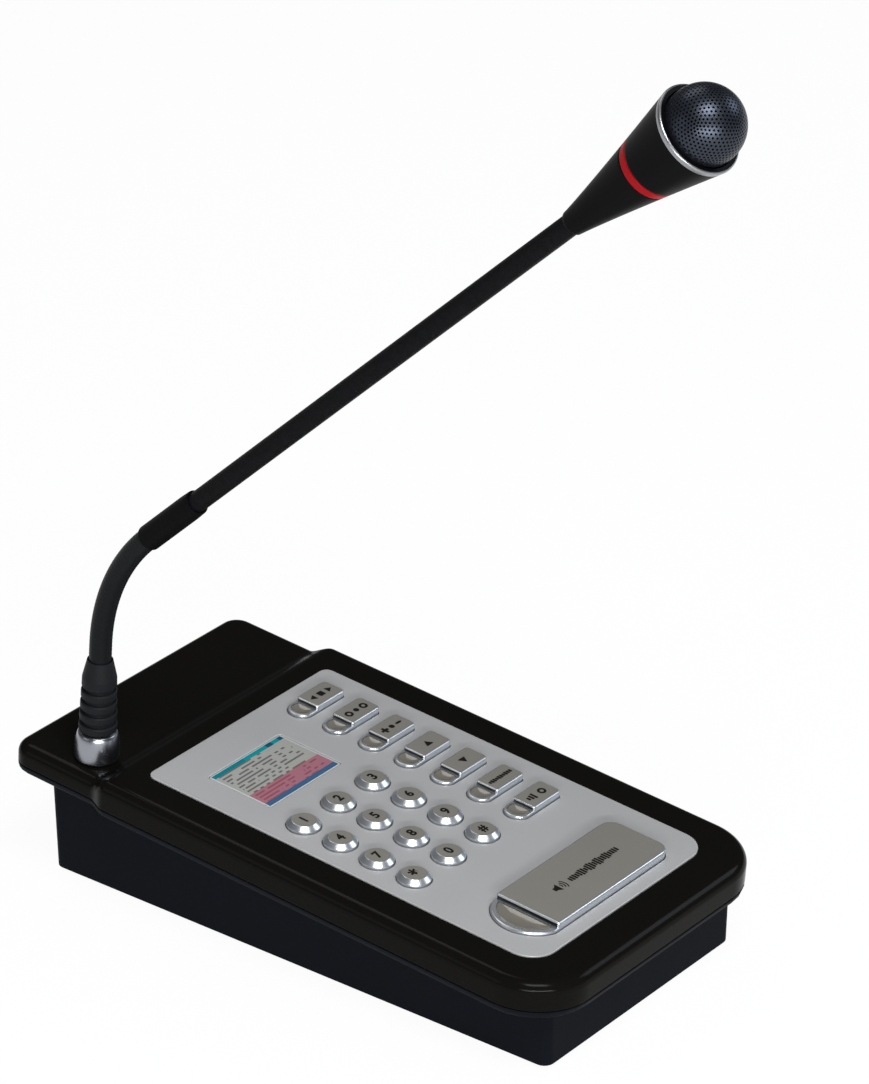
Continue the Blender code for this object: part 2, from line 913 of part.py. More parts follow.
def case_screws():
    """Each screw goes up a post of the base, through the web near its top and into the cover's boss."""
    for index, (x, y, boss) in enumerate(post_places()):
        seat = boss - gap - post_web - gap
        tip = boss + screw_bite
        profile = [(0, tip), (screw_radius, tip), (screw_radius, seat), (screw_head_radius, seat)]
        profile += [(screw_head_radius, seat - screw_head), (0, seat - screw_head)]
        screw = turned(f"case_screw_{index + 1}", profile, 14)
        as_part(place(screw, world_frame, (x, y, 0)), plain_steel)


def number_key_mesh():
    """A turned key: flange under the panel, short collar, sloping bevel and flat top."""
    collar = panel_proud + number_collar
    top = panel_proud + number_proud
    profile = [(0, top), (number_top_radius, top), (number_radius, collar), (number_radius, flange_top)]
    profile += [(number_radius + key_flange, flange_top), (number_radius + key_flange, flange_under)]
    profile += [(0, flange_under)]
    return turned("number_key", profile, 16)


def number_keys():
    first = number_key_mesh()
    mesh = first.data
    bpy.data.objects.remove(first)
    keys = []
    for index, (x, y) in enumerate(number_places):
        key = bpy.data.objects.new(f"number_key_{index + 1}", mesh)
        parts.objects.link(key)
        keys.append(as_part(place(key, deck_frame, (x, y, 0)), silver_key))
    return keys


def long_key(name, outline, left, step, right, depth, left_bulge, right_corner, proud):
    """A key with a raised pad on the right, and on the left a lower round nose with a pocket for its lens."""
    shelf = panel_proud + key_shelf
    top = panel_proud + proud
    body = slab(name, [outline(0.0, key_flange)], flange_under, flange_top)
    stem = slab("stem", [outline(0.0)], flange_top - sink, shelf)
    round_edges(stem, shelf, key_edge / 2, 1)
    half = depth / 2
    pad_edge = square_end(right, 0.0, half, right_corner)
    pad_edge += arc(step + key_corner, half - key_corner, key_corner, 90, 180, 2)
    pad_edge += arc(step + key_corner, -half + key_corner, key_corner, 180, 270, 2)
    pad = slab("pad", [pad_edge], shelf - key_edge - sink, top)
    round_edges(pad, top, key_edge, 2)
    join(body, [stem, pad])
    pocket = slab("pocket", [lens_edge(left, step, half, left_bulge, 0.0)], shelf - lens_depth, top)
    boolean(body, pocket)
    return body


def lens_edge(left, step, half, left_bulge, inset):
    """The lens's edge: the key's round nose drawn in by a border, and straight beside the pad."""
    nose_radius = (half * half + left_bulge * left_bulge) / (2 * left_bulge)
    centre = left + nose_radius
    radius = nose_radius - lens_border - inset
    chord = step - lens_border - inset
    spread = math.degrees(math.acos((centre - chord) / radius))
    return arc(centre, 0.0, radius, 180 - spread, 180 + spread, 6)


def key_lens(name, left, step, depth, left_bulge):
    shelf = panel_proud + key_shelf
    edge = lens_edge(left, step, depth / 2, left_bulge, gap)
    return slab(name, [edge], shelf - lens_depth + gap, shelf + lens_proud)


def function_keys():
    sizes = (function_left, function_step, function_right, function_depth)
    ends = (function_left_bulge, function_right_corner)
    key = long_key("function_key", function_outline, *sizes, *ends, function_proud)
    lens = key_lens("function_lens", function_left, function_step, function_depth, function_left_bulge)
    key_mesh = key.data
    lens_mesh = lens.data
    bpy.data.objects.remove(key)
    bpy.data.objects.remove(lens)
    for index, row in enumerate(key_rows):
        body = bpy.data.objects.new(f"function_key_{index + 1}", key_mesh)
        parts.objects.link(body)
        as_part(place(body, deck_frame, (0, row, 0)), silver_key)
        body = bpy.data.objects.new(f"function_lens_{index + 1}", lens_mesh)
        parts.objects.link(body)
        as_part(place(body, deck_frame, (0, row, 0)), clear_plastic)


def bar_key():
    sizes = (bar_left, bar_step, bar_right, bar_depth)
    key = long_key("talk_bar", bar_outline, *sizes, bar_left_bulge, bar_right_corner, bar_proud)
    as_part(place(key, deck_frame, (0, bar_middle, 0)), silver_key)
    lens = key_lens("talk_lens", bar_left, bar_step, bar_depth, bar_left_bulge)
    as_part(place(lens, deck_frame, (0, bar_middle, 0)), clear_plastic)


def neck_fixing():
    """The threaded stud through the rear deck, its lock nut below and the domed chrome nut above."""
    stud = [(stud_radius, stud_above), (stud_radius, -stud_below), (stud_bore, -stud_below), (stud_bore, stud_above)]
    as_part(place(turned("gooseneck_stud", stud), neck_frame), plain_steel)
    under = -cover_skin + rear_drop - gap
    lock = cylinder("lock_nut", lock_radius, under - lock_thickness, under, sides=6)
    bore = cylinder("lock_bore", stud_radius + gap, under - lock_thickness - overrun, under + overrun, sides=24)
    boolean(lock, bore)
    as_part(place(lock, neck_frame), plain_steel)
    bore = stud_radius + gap
    throat = conduit_radius + gap + sink
    shoulder = stud_above + gap
    profile = [(throat, nut_height), (nut_top_radius - nut_chamfer, nut_height)]
    steps = 4
    for step in range(steps + 1):
        angle = math.radians(90 * step / steps)
        radius = nut_top_radius + (nut_radius - nut_top_radius) * math.sin(angle)
        height = nut_skirt + (nut_height - nut_chamfer - nut_skirt) * math.cos(angle)
        profile.append((radius, height))
    profile += [(nut_radius, gap + nut_chamfer), (nut_radius - nut_chamfer, gap)]
    profile += [(bore, gap), (bore, shoulder), (throat, shoulder)]
    as_part(place(turned("gooseneck_nut", profile, 24), neck_frame), chrome)


def boot():
    """The rubber boot: rings that get smaller upwards, and a shoulder that tapers onto the conduit."""
    bore = conduit_radius + gap
    low = nut_height + gap
    high = boot_top
    profile = [(bore, high), (boot_neck_radius, high), (boot_neck_radius, high - boot_lip)]
    profile.append((boot_top_radius, high - boot_shoulder))
    for ring in reversed(range(boot_rings)):
        share = ring / (boot_rings - 1)
        radius = boot_radius + (boot_top_radius - boot_radius) * share
        top = low + ring * boot_ring_pitch + boot_ring
        if ring < boot_rings - 1:
            profile.append((radius, top))
        profile.append((radius, top - boot_ring))
        if ring > 0:
            inner = radius - boot_groove
            profile.append((inner, top - boot_ring))
            profile.append((inner, top - boot_ring_pitch))
    profile.append((bore, low))
    return as_part(place(turned("gooseneck_boot", profile, 16), neck_frame), rubber)


def conduit():
    """The flexible conduit: up through the boot, round an arc and straight into the sleeve."""
    points = [(0, stud_above + gap), (0, boot_top), (0, boot_top + conduit_straight)]
    for step in range(1, conduit_steps + 1):
        angle = conduit_bend * step / conduit_steps
        forward = -conduit_bend_radius * (1 - math.cos(angle))
        points.append((forward, boot_top + conduit_straight + conduit_bend_radius * math.sin(angle)))
    end = sleeve_socket - gap
    forward, height = points[-1]
    points.append((forward - end * math.sin(conduit_bend), height + end * math.cos(conduit_bend)))
    curve = bpy.data.curves.new("flexible_conduit", "CURVE")
    curve.dimensions = "3D"
    curve.bevel_depth = conduit_radius
    curve.bevel_resolution = 4
    curve.use_fill_caps = True
    spline = curve.splines.new("POLY")
    spline.points.add(len(points) - 1)
    for point, (forward, height) in zip(spline.points, points):
        point.co = (0, forward, height, 1)
    drawn = bpy.data.objects.new("flexible_conduit", curve)
    guides.objects.link(drawn)
    bpy.context.view_layer.update()
    mesh = bpy.data.meshes.new_from_object(drawn.evaluated_get(bpy.context.evaluated_depsgraph_get()))
    bpy.data.objects.remove(drawn)
    shape = bmesh.new()
    shape.from_mesh(mesh)
    bmesh.ops.remove_doubles(shape, verts=shape.verts, dist=weld)
    body = from_bmesh("flexible_conduit", shape)
    return as_part(place(body, neck_frame), black_metal)


def arm():
    conduit_bore = conduit_radius + gap
    tube_bore = tube_radius + gap
    sleeve = [(tube_bore, sleeve_length), (sleeve_end_radius, sleeve_length)]
    sleeve += [(sleeve_radius, sleeve_length - sleeve_taper), (sleeve_radius, sleeve_taper)]
    sleeve += [(sleeve_end_radius + sink / 2, 0), (conduit_bore, 0), (conduit_bore, sleeve_socket)]
    sleeve += [(cable_bore, sleeve_socket), (cable_bore, sleeve_length - sleeve_socket)]
    sleeve += [(tube_bore, sleeve_length - sleeve_socket)]
    as_part(place(turned("joining_sleeve", sleeve), arm_frame), black_metal)
    low = sleeve_length - sleeve_socket + gap
    high = tube_reach + head_socket - gap
    inner = tube_radius - tube_wall
    tube = [(inner, high), (tube_radius, high), (tube_radius, low), (inner, low)]
    as_part(place(turned("rigid_tube", tube), arm_frame), black_metal)


def flare_radius(height):
    """The head widens from the tube to its rim, a little faster towards the rim."""
    share = height / head_length
    return head_start_radius + (head_rim_radius - head_start_radius) * share**head_flare


def flare_side(low, high, steps):
    """Points down the head's outer side, from the higher level to the lower one."""
    levels = [high + (low - high) * step / steps for step in range(steps + 1)]
    return [(flare_radius(level), level) for level in levels]


def head():
    seam = light_start - gap
    cone = [(cable_bore, seam + spigot_length), (spigot_radius, seam + spigot_length), (spigot_radius, seam)]
    cone += flare_side(0, seam, 4)
    cone += [(tube_radius + gap, 0), (tube_radius + gap, head_socket), (cable_bore, head_socket)]
    as_part(place(turned("head_cone", cone, 24), head_frame), black_plastic)
    light_end = light_start + light_length
    light = [(spigot_radius + gap, light_end)] + flare_side(light_start, light_end, 1)
    light += [(spigot_radius + gap, light_start)]
    as_part(place(turned("light_ring", light, 24), head_frame), red_light)
    mouth = skirt_radius() + gap
    seat = head_length - dome_skirt
    low = light_end + gap
    cup = [(mouth, head_length), (head_rim_radius - rim_round, head_length)]
    cup += [(head_rim_radius - rim_round / 3, head_length - rim_round / 3)]
    cup += flare_side(low, head_length - rim_round, 2)
    cup += [(spigot_radius + gap, low), (spigot_radius + gap, seam + spigot_length + gap)]
    cup += [(cable_bore, seam + spigot_length + gap), (cable_bore, capsule_seat)]
    cup += [(capsule_radius + gap, capsule_seat), (capsule_radius + gap, capsule_seat + capsule_socket)]
    cup += [(mouth - dome_sheet - gap, seat), (mouth, seat)]
    as_part(place(turned("head_cup", cup, 24), head_frame), black_plastic)
    return dome_and_capsule()


def skirt_radius():
    """The dome's skirt is as wide as its sphere where the rim crosses it."""
    return math.sqrt(dome_sphere**2 - dome_offset**2)


def dome_side(sphere, start, steps):
    """Points from the dome's top down its side, to the level where the skirt starts."""
    points = []
    for step in range(steps + 1):
        angle = math.radians(90) + (start - math.radians(90)) * step / steps
        points.append((sphere * math.cos(angle), head_length + dome_offset + sphere * math.sin(angle)))
    points[0] = (0, points[0][1])
    return points


def dome_and_capsule():
    seat = head_length - dome_skirt + gap
    outer = dome_side(dome_sphere, -math.asin(dome_offset / dome_sphere), 8)
    inner_sphere = dome_sphere - dome_sheet
    inner = dome_side(inner_sphere, -math.asin(dome_offset / inner_sphere), 4)
    profile = outer + [(skirt_radius(), seat), (inner[-1][0], seat)] + inner[::-1]
    as_part(place(turned("grille_dome", profile, 24), head_frame), grille_metal)
    low = capsule_seat + gap
    capsule = cylinder("mic_capsule", capsule_radius, low, low + capsule_length, sides=20)
    as_part(place(capsule, head_frame), plain_steel)


def tidy_up():
    """Puts the unnamed helpers away and leaves one object for each part."""
    for body in parts.objects:
        body.data.name = body.name
    bpy.context.view_layer.update()


base_shell()
top_cover()
front_panel()
display_window()
display_module()
key_mat()
keypad_board()
main_board()
ballast_plate()
network_socket()
power_socket()
rubber_feet()
case_screws()
number_keys()
function_keys()
bar_key()
neck_fixing()
boot()
conduit()
arm()
head()
tidy_up()
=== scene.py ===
import itertools
import math

import bmesh
import bpy
import numpy as np
from mathutils import Matrix


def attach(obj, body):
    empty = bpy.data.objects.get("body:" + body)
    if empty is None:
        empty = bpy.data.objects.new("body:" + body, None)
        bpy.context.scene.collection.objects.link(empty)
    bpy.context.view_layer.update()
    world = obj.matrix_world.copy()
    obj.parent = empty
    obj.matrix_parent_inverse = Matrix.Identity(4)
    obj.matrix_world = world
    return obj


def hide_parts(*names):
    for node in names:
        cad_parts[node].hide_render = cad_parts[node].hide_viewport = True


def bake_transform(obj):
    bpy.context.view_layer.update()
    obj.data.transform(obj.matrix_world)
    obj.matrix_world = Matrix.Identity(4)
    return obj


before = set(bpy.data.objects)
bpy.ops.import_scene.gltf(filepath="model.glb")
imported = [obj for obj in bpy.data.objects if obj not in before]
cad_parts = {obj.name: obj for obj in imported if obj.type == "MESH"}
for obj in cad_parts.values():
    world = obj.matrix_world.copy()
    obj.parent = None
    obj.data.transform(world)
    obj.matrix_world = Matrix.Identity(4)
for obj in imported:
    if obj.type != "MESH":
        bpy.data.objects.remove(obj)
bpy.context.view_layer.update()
mm = 0.001
shift = Matrix.Translation


class Settings(dict):
    # a dictionary whose values can be read as attributes
    __getattr__ = dict.__getitem__


def inMm(**lengths):
    # lengths given in millimetres, single or in tuples, as metres
    return Settings({name: np.multiply(value, mm) for name, value in lengths.items()})


# Where things are: each spot is a frame of the object, turned about X
slope = math.radians(4.33)                     # the deck's slope
bend = math.radians(42.7)                      # how far the gooseneck leans forward
conduitPath = inMm(start=7.9, straight=47.5, radius=78, end=7.7)
deckSpot = shift((0, 0, 47.4 * mm)) @ Matrix.Rotation(slope, 4, "X")
neckSpot = shift((-50.7 * mm, 95.3 * mm, 51.607 * mm)) @ Matrix.Rotation(slope, 4, "X")
armSpot = neckSpot @ shift((
    0,
    -conduitPath.radius * (1 - math.cos(bend)),
    conduitPath.straight + conduitPath.radius * math.sin(bend),
)) @ Matrix.Rotation(bend, 4, "X")
headSpot = armSpot @ shift((0, 0, 252 * mm))


def localBox(node, spot):
    # lowest and highest corner of a CAD node, measured along the axes of a spot
    place = meshArray(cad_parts[node].data.vertices, "co", 3)
    back = np.array(spot.inverted())
    place = place @ back[:3, :3].T + back[:3, 3]
    return place.min(0), place.max(0)


def linear(red, green, blue):
    # a colour out of 255, as it looks on a screen, as Blender's linear colour
    share = np.array((red, green, blue)) / 255
    out = np.where(share <= 0.04045, share / 12.92, ((share + 0.055) / 1.055) ** 2.4)
    return (*out.tolist(), 1.0)


def newObject(name, data):
    holder = bpy.data.objects.new(name, data)
    bpy.context.scene.collection.objects.link(holder)
    return holder


def assign(holder, **values):
    for name, value in values.items():
        setattr(holder, name, value)
    return holder


# Camera, lamps and floor
cameraView = Settings(
    inMm(place=(-1365.59, -1084.14, 1043.21)), lens=183.8, sensor=36, clip=(0.05, 50),
    right=(0.61415, -0.78919, 0.0), up=(0.36012, 0.28025, 0.88982), back=(-0.70224, -0.54648, 0.45632),
)
studio = Settings(strength=0.1, color=(0.94, 0.97, 1.0, 1.0), middle=np.array((0.0, 0.0, 0.1)))
# turn and height in degrees, distance from the middle, size, power and colour of each lamp
lamps = {
    "key": (-35, 62, 1.9, (0.8, 0.55), 26, (0.97, 0.985, 1.0)),
    "right": (58, 32, 1.9, (0.8, 0.6), 7, (0.8, 0.9, 1.0)),
    "left": (-118, 22, 2.0, (0.9, 0.7), 2, (0.93, 0.97, 1.0)),
    "back": (150, 55, 2.2, (1.2, 0.6), 7, (1.0, 0.98, 0.95)),
    "front": (-44, 13, 1.9, (1.6, 0.04), 32, (0.95, 0.98, 1.0)),
}
floor = Settings(
    rings=(0.0, 0.3, 1.0, 3.0, 6.0), sides=96, white=0.95,
    sockets={"Base Color": (0.9, 0.9, 0.9, 1.0), "Roughness": 0.9, "Specular IOR Level": 0.0},
)


def addCamera():
    near, far = cameraView.clip
    camera = newObject("camera", assign(bpy.data.cameras.new("camera"), lens=cameraView.lens,
                                        sensor_width=cameraView.sensor, clip_start=near, clip_end=far))
    turn = Matrix((cameraView.right, cameraView.up, cameraView.back)).transposed()
    camera.matrix_world = shift(cameraView.place) @ turn.to_4x4()
    bpy.context.scene.camera = camera


def addLamp(name, turn, height, away, size, power, color):
    turn, height = math.radians(turn), math.radians(height)
    level = math.cos(height)
    back = np.array((math.sin(turn) * level, -math.cos(turn) * level, math.sin(height)))
    data = assign(bpy.data.lights.new(name + "Lamp", "AREA"), shape="RECTANGLE", size=size[0],
                  size_y=size[1], energy=power, color=color)
    assign(newObject(name + "Lamp", data), location=studio.middle + back * away,
           rotation_euler=(math.pi / 2 - height, 0, turn))


def addStudio():
    world = bpy.data.worlds.new("studio")
    world.use_nodes = True
    air = world.node_tree.nodes["Background"]
    air.inputs["Color"].default_value = studio.color
    air.inputs["Strength"].default_value = studio.strength
    bpy.context.scene.world = world
    for name, values in lamps.items():
        addLamp(name, *values)
    bpy.context.scene.view_settings.view_transform = "Standard"


def addFloor():
    # a disc of rings, white where the camera, metal or glass sees it, and still shaded by the object
    mesh = gridMesh(turnedGrid([(radius, 0.0) for radius in floor.rings], floor.sides))
    finish, tree, shader = newFinish("studioFloor")
    feedAll(shader, floor.sockets)
    rays = newNode(tree, "LightPath").outputs
    seen = joinMath("MAXIMUM", rays["Is Camera Ray"], rays["Is Glossy Ray"])
    seen = joinMath("MAXIMUM", seen, rays["Is Transmission Ray"])
    white = newNode(tree, "Emission").outputs["Emission"]
    parts = {0: times(seen, floor.white), 1: shader.outputs["BSDF"], 2: white}
    blend = newNode(tree, "MixShader", parts)
    feed(tree.nodes["Material Output"].inputs["Surface"], blend.outputs["Shader"])
    mesh.materials.append(finish)
    newObject("floor", mesh)


# Surfaces: grids of points made with numpy, and flat outlines
def turnedGrid(profile, sides):
    # x = r cos a, y = r sin a, z = h for each point (r, h) of the profile and each angle a
    radius, height = np.asarray(profile, float).T
    angle = np.linspace(0, 2 * math.pi, sides, endpoint=False)
    across = np.outer(radius, np.cos(angle))
    along = np.outer(radius, np.sin(angle))
    return np.stack((across, along, np.repeat(height[:, None], sides, 1)), axis=-1)


def gridFaces(rows, columns, closed):
    # the four corners of each cell: columns wrap round, and rows do where the section is closed
    row = np.arange(rows if closed else rows - 1)[:, None]
    column = np.arange(columns)[None, :]
    after, beside = (row + 1) % rows, (column + 1) % columns
    pairs = ((row, column), (after, column), (after, beside), (row, beside))
    return np.stack([a * columns + b for a, b in pairs], axis=-1).reshape(-1, 4)


def gridMesh(grid, closed=False, sharp=50.0):
    rows, columns = grid.shape[:2]
    mesh = bpy.data.meshes.new("grid")
    mesh.from_pydata(grid.reshape(-1, 3).tolist(), [], gridFaces(rows, columns, closed).tolist())
    return tidyMesh(mesh, sharp)


def tidyMesh(mesh, sharp=50.0, reach=0.0005 * mm, flat=0.0):
    # joins points within reach and faces within flat degrees, and marks the edges over sharp degrees
    shape = bmesh.new()
    shape.from_mesh(mesh)
    bmesh.ops.remove_doubles(shape, verts=shape.verts, dist=reach)
    bmesh.ops.recalc_face_normals(shape, faces=shape.faces)
    if flat:
        bmesh.ops.dissolve_limit(shape, angle_limit=math.radians(flat), verts=shape.verts, edges=shape.edges)
    shape.to_mesh(mesh)
    shape.free()
    mesh.shade_smooth()
    mesh.set_sharp_from_angle(angle=math.radians(sharp))
    return mesh


def meshArray(source, name, width, kind=np.float32):
    out = np.empty(len(source) * width, kind)
    source.foreach_get(name, out)
    return out.reshape(-1, width) if width > 1 else out


def addMask(mesh, name, domain, values):
    layer = mesh.attributes.new(name, "FLOAT", domain)
    layer.data.foreach_set("value", values.astype(np.float32))


edgeMark = Settings(inMm(nearest=0.02), start=0.6, span=1.6)
capMark = Settings(inMm(below=0.03, near=0.4, under=1), level=0.99, upright=-0.9)


def markEdges(mesh):
    # how fast the surface turns at each vertex: angle between face and vertex normals over their distance
    corner = meshArray(mesh.loops, "vertex_index", 1, np.int32)
    sides = meshArray(mesh.polygons, "loop_total", 1, np.int32)
    face = np.repeat(np.arange(len(mesh.polygons)), sides)
    faceNormal = meshArray(mesh.polygon_normals, "vector", 3)[face]
    pointNormal = meshArray(mesh.vertex_normals, "vector", 3)[corner]
    away = meshArray(mesh.polygons, "center", 3)[face] - meshArray(mesh.vertices, "co", 3)[corner]
    turn = np.arccos(np.clip((faceNormal * pointNormal).sum(1), -1, 1))
    rate = turn / np.maximum(np.linalg.norm(away, axis=1), edgeMark.nearest) * mm
    edge = np.zeros(len(mesh.vertices), np.float32)
    np.maximum.at(edge, corner, rate)
    addMask(mesh, "edge", "POINT", np.clip((edge - edgeMark.start) / edgeMark.span, 0, 1))


def markCaps(mesh, high, step=None, shelf=0.0):
    # masks that are 1 on the flat top faces of a key, and on the step wall between its pad and its nose,
    # which gets painted shade
    normal = meshArray(mesh.polygon_normals, "vector", 3)
    middle = meshArray(mesh.polygons, "center", 3)
    cap = (normal[:, 2] > capMark.level) & (middle[:, 2] > high - capMark.below)
    addMask(mesh, "cap", "FACE", cap)
    if step is not None:
        near = np.abs(middle[:, 0] - step) < capMark.near
        near &= middle[:, 2] > shelf - capMark.under
        addMask(mesh, "step", "FACE", (normal[:, 0] < capMark.upright) & near)
    return mesh


def filleted(corners, radii, steps=5, closed=False):
    # each corner of a line becomes an arc that touches both its sides
    corners = np.asarray(corners, float)
    count = len(corners)
    radii = np.broadcast_to(np.asarray(radii, float), (count,))
    out = []
    for index in range(count):
        point = corners[index]
        out.append(point[None])
        if radii[index] <= 0 or (not closed and index in (0, count - 1)):
            continue
        before = corners[index - 1] - point
        after = corners[(index + 1) % count] - point
        beforeLength, afterLength = np.linalg.norm(before), np.linalg.norm(after)
        before, after = before / beforeLength, after / afterLength
        half = 0.5 * math.acos(float(np.clip(before @ after, -1, 1)))
        if half > math.radians(88):
            continue
        back = min(radii[index] / math.tan(half), 0.49 * beforeLength, 0.49 * afterLength)
        middle = point + (before + after) / np.linalg.norm(before + after) * back / math.cos(half)
        first = point + before * back - middle
        last = point + after * back - middle
        sweep = math.atan2(first[0] * last[1] - first[1] * last[0], first @ last)
        angle = np.linspace(0, sweep, steps + 1)
        out[-1] = middle + np.column_stack((
            first[0] * np.cos(angle) - first[1] * np.sin(angle),
            first[0] * np.sin(angle) + first[1] * np.cos(angle),
        ))
    return np.vstack(out)


def line(start, end, count, whole=False):
    # evenly spaced points from start towards end, without the last one unless whole
    share = np.linspace(0, 1, count, endpoint=whole)[:, None]
    return np.array(start) * (1 - share) + np.array(end) * share


def arcPoints(middle, radius, start, end, steps):
    angle = np.radians(np.linspace(start, end, steps + 1))
    return np.column_stack((middle[0] + radius * np.cos(angle), middle[1] + radius * np.sin(angle)))


def circlePoints(middle, radius, sides=72):
    return arcPoints(middle, radius, 0, 360, sides)[:-1]


def roundedBox(left, right, front, rear, frontCorner, rearCorner, steps=16):
    return np.vstack((
        arcPoints((right - rearCorner, rear - rearCorner), rearCorner, 0, 90, steps),
        arcPoints((left + rearCorner, rear - rearCorner), rearCorner, 90, 180, steps),
        arcPoints((left + frontCorner, front + frontCorner), frontCorner, 180, 270, steps),
        arcPoints((right - frontCorner, front + frontCorner), frontCorner, 270, 360, steps),
    ))


def withHeight(ring, height):
    return np.column_stack((ring, np.broadcast_to(height, (len(ring),))))


def shownMesh(holder):
    # the mesh that an object shows with its modifiers, and the object is removed
    bpy.context.view_layer.update()
    mesh = bpy.data.meshes.new_from_object(holder.evaluated_get(bpy.context.evaluated_depsgraph_get()))
    bpy.data.objects.remove(holder)
    return mesh


def raisedMesh(curve, low, high, reach):
    mesh = shownMesh(newObject("outline", curve))
    bpy.data.curves.remove(curve)
    mesh.transform(shift((0, 0, (low + high) / 2)))
    return tidyMesh(mesh, 40.0, reach)


def flatMesh(outlines, low, high, edge, steps=3):
    # flat outlines raised from low to high, with both rims rounded by edge
    curve = assign(bpy.data.curves.new("outline", "CURVE"), dimensions="2D", fill_mode="BOTH",
                   extrude=(high - low) / 2 - edge, bevel_depth=edge, bevel_resolution=steps, offset=-edge)
    for outline in outlines:
        spline = curve.splines.new("POLY")
        spline.points.add(len(outline) - 1)
        flat = np.column_stack((outline, np.zeros(len(outline)), np.ones(len(outline))))
        spline.points.foreach_set("co", flat.astype(np.float32).ravel())
        spline.use_cyclic_u = True
    return raisedMesh(curve, low, high, 0.002 * mm)


def textMesh(word, size, low, high):
    curve = assign(bpy.data.curves.new("word", "FONT"), body=word, size=size, align_x="CENTER",
                   align_y="CENTER", extrude=(high - low) / 2, offset=ink.bolder, resolution_u=4)
    return raisedMesh(curve, low, high, 0.0005 * mm)


def changedMesh(mesh, kind, sharp=40.0, **settings):
    # the mesh as one modifier leaves it
    body = newObject("changed", mesh)
    assign(body.modifiers.new("step", kind), **settings)
    return tidyMesh(shownMesh(body), sharp)


def cutMesh(mesh, other, operation="DIFFERENCE"):
    # cuts one closed mesh with another, or joins the two
    tool = newObject("cutTool", other)
    out = changedMesh(mesh, "BOOLEAN", operation=operation, solver="EXACT", object=tool)
    bpy.data.objects.remove(tool)
    return out


def addPiece(name, mesh, spot, finish, body, node=None, weighted=True, bevel=0.0):
    mesh.name = name
    mesh.transform(spot)
    markEdges(mesh)
    mesh.materials.clear()
    mesh.materials.append(finishes[finish])
    piece = newObject(name, mesh)
    if bevel:
        assign(piece.modifiers.new("brokenEdges", "BEVEL"), width=bevel, segments=2, limit_method="ANGLE",
               angle_limit=math.radians(40))
    if weighted:
        assign(piece.modifiers.new("flatNormals", "WEIGHTED_NORMAL"), keep_sharp=True)
    if body:
        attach(piece, body)
    if node:
        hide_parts(node)
    return piece


def addTurned(name, profile, sides, spot, finish, body, node=None, closed=True):
    # a piece whose profile is turned about the Z axis of its spot
    addPiece(name, gridMesh(turnedGrid(profile, sides), closed), spot, finish, body, node)


# Shader nodes, and node groups that each put out only colours, masks or heights
def feed(socket, value):
    # a socket takes a plain value, or a link from another socket; id_data is the node tree it is in
    if isinstance(value, (int, float, tuple)):
        socket.default_value = value
    else:
        socket.id_data.links.new(value, socket)


def feedAll(node, values):
    for label, value in values.items():
        feed(node.inputs[label], value)


def newNode(tree, kind, inputs=None, **settings):
    node = assign(tree.nodes.new("ShaderNode" + kind), **settings)
    feedAll(node, inputs or {})
    return node


def joinMath(operation, *values):
    inputs = dict(enumerate(values))
    return newNode(values[0].id_data, "Math", inputs, operation=operation).outputs["Value"]


def times(first, second):
    return joinMath("MULTIPLY", first, second)


def plus(first, second):
    return joinMath("ADD", first, second)


def band(value, low, high):
    # 1 between low and high, else 0
    return times(joinMath("GREATER_THAN", value, low), joinMath("LESS_THAN", value, high))


def mixColor(share, first, second):
    return newNode(share.id_data, "Mix", {0: share, 6: first, 7: second}, data_type="RGBA").outputs[2]


def maskOf(tree, name):
    return newNode(tree, "Attribute", attribute_name=name).outputs["Fac"]


def noise(place, scale, detail=3.0, rough=0.55):
    inputs = {"Vector": place, "Scale": scale, "Detail": detail, "Roughness": rough}
    return newNode(place.id_data, "TexNoise", inputs).outputs["Fac"]


def newGroup(name, inputs, outputs):
    # a group with the named sockets: Place is a vector, a colour has Color in its name, the rest are numbers
    tree = bpy.data.node_groups.new(name, "ShaderNodeTree")
    for side, labels in (("INPUT", inputs), ("OUTPUT", outputs)):
        for label in labels:
            kind = "Vector" if label == "Place" else "Color" if "Color" in label else "Float"
            tree.interface.new_socket(label, in_out=side, socket_type="NodeSocket" + kind)
    return tree, tree.nodes.new("NodeGroupInput").outputs, tree.nodes.new("NodeGroupOutput").inputs


def makeToneGroup():
    # colour that drifts a little over the surface, in large soft patches and small specks
    tree, start, end = newGroup("toneDrift", ("Place", "Color", "Amount", "Patch", "Speck"), ("Color",))
    soft = noise(start["Place"], start["Patch"], 2.0)
    fine = noise(start["Place"], start["Speck"], 1.0)
    both = plus(times(soft, 0.6), times(fine, 0.4))
    swing = times(plus(both, -0.5), start["Amount"])
    bright = plus(times(swing, 4.0), 1.0)
    scale = newNode(tree, "VectorMath", {0: start["Color"], "Scale": bright}, operation="SCALE")
    feed(end["Color"], scale.outputs["Vector"])
    return tree


def makeWearGroup():
    # edges that hands rub: lighter and smoother, broken up by noise
    inputs = ("Place", "Color", "Worn Color", "Roughness", "Worn Roughness", "Amount")
    tree, start, end = newGroup("edgeWear", inputs, ("Color", "Roughness"))
    patchy = noise(start["Place"], 420.0, 4.0)
    mask = times(maskOf(tree, "edge"), times(patchy, 1.6))
    mask = times(mask, start["Amount"])
    feed(end["Color"], mixColor(mask, start["Color"], start["Worn Color"]))
    gap = joinMath("SUBTRACT", start["Worn Roughness"], start["Roughness"])
    feed(end["Roughness"], plus(start["Roughness"], times(gap, mask)))
    return tree


def makeSmudgeGroup():
    # gloss that changes where the surface was touched or wiped
    tree, start, end = newGroup("smudges", ("Place", "Roughness", "Amount"), ("Roughness",))
    large = noise(start["Place"], 38.0, 4.0, 0.6)
    swing = times(plus(large, -0.5), start["Amount"])
    feed(end["Roughness"], plus(start["Roughness"], swing))
    return tree


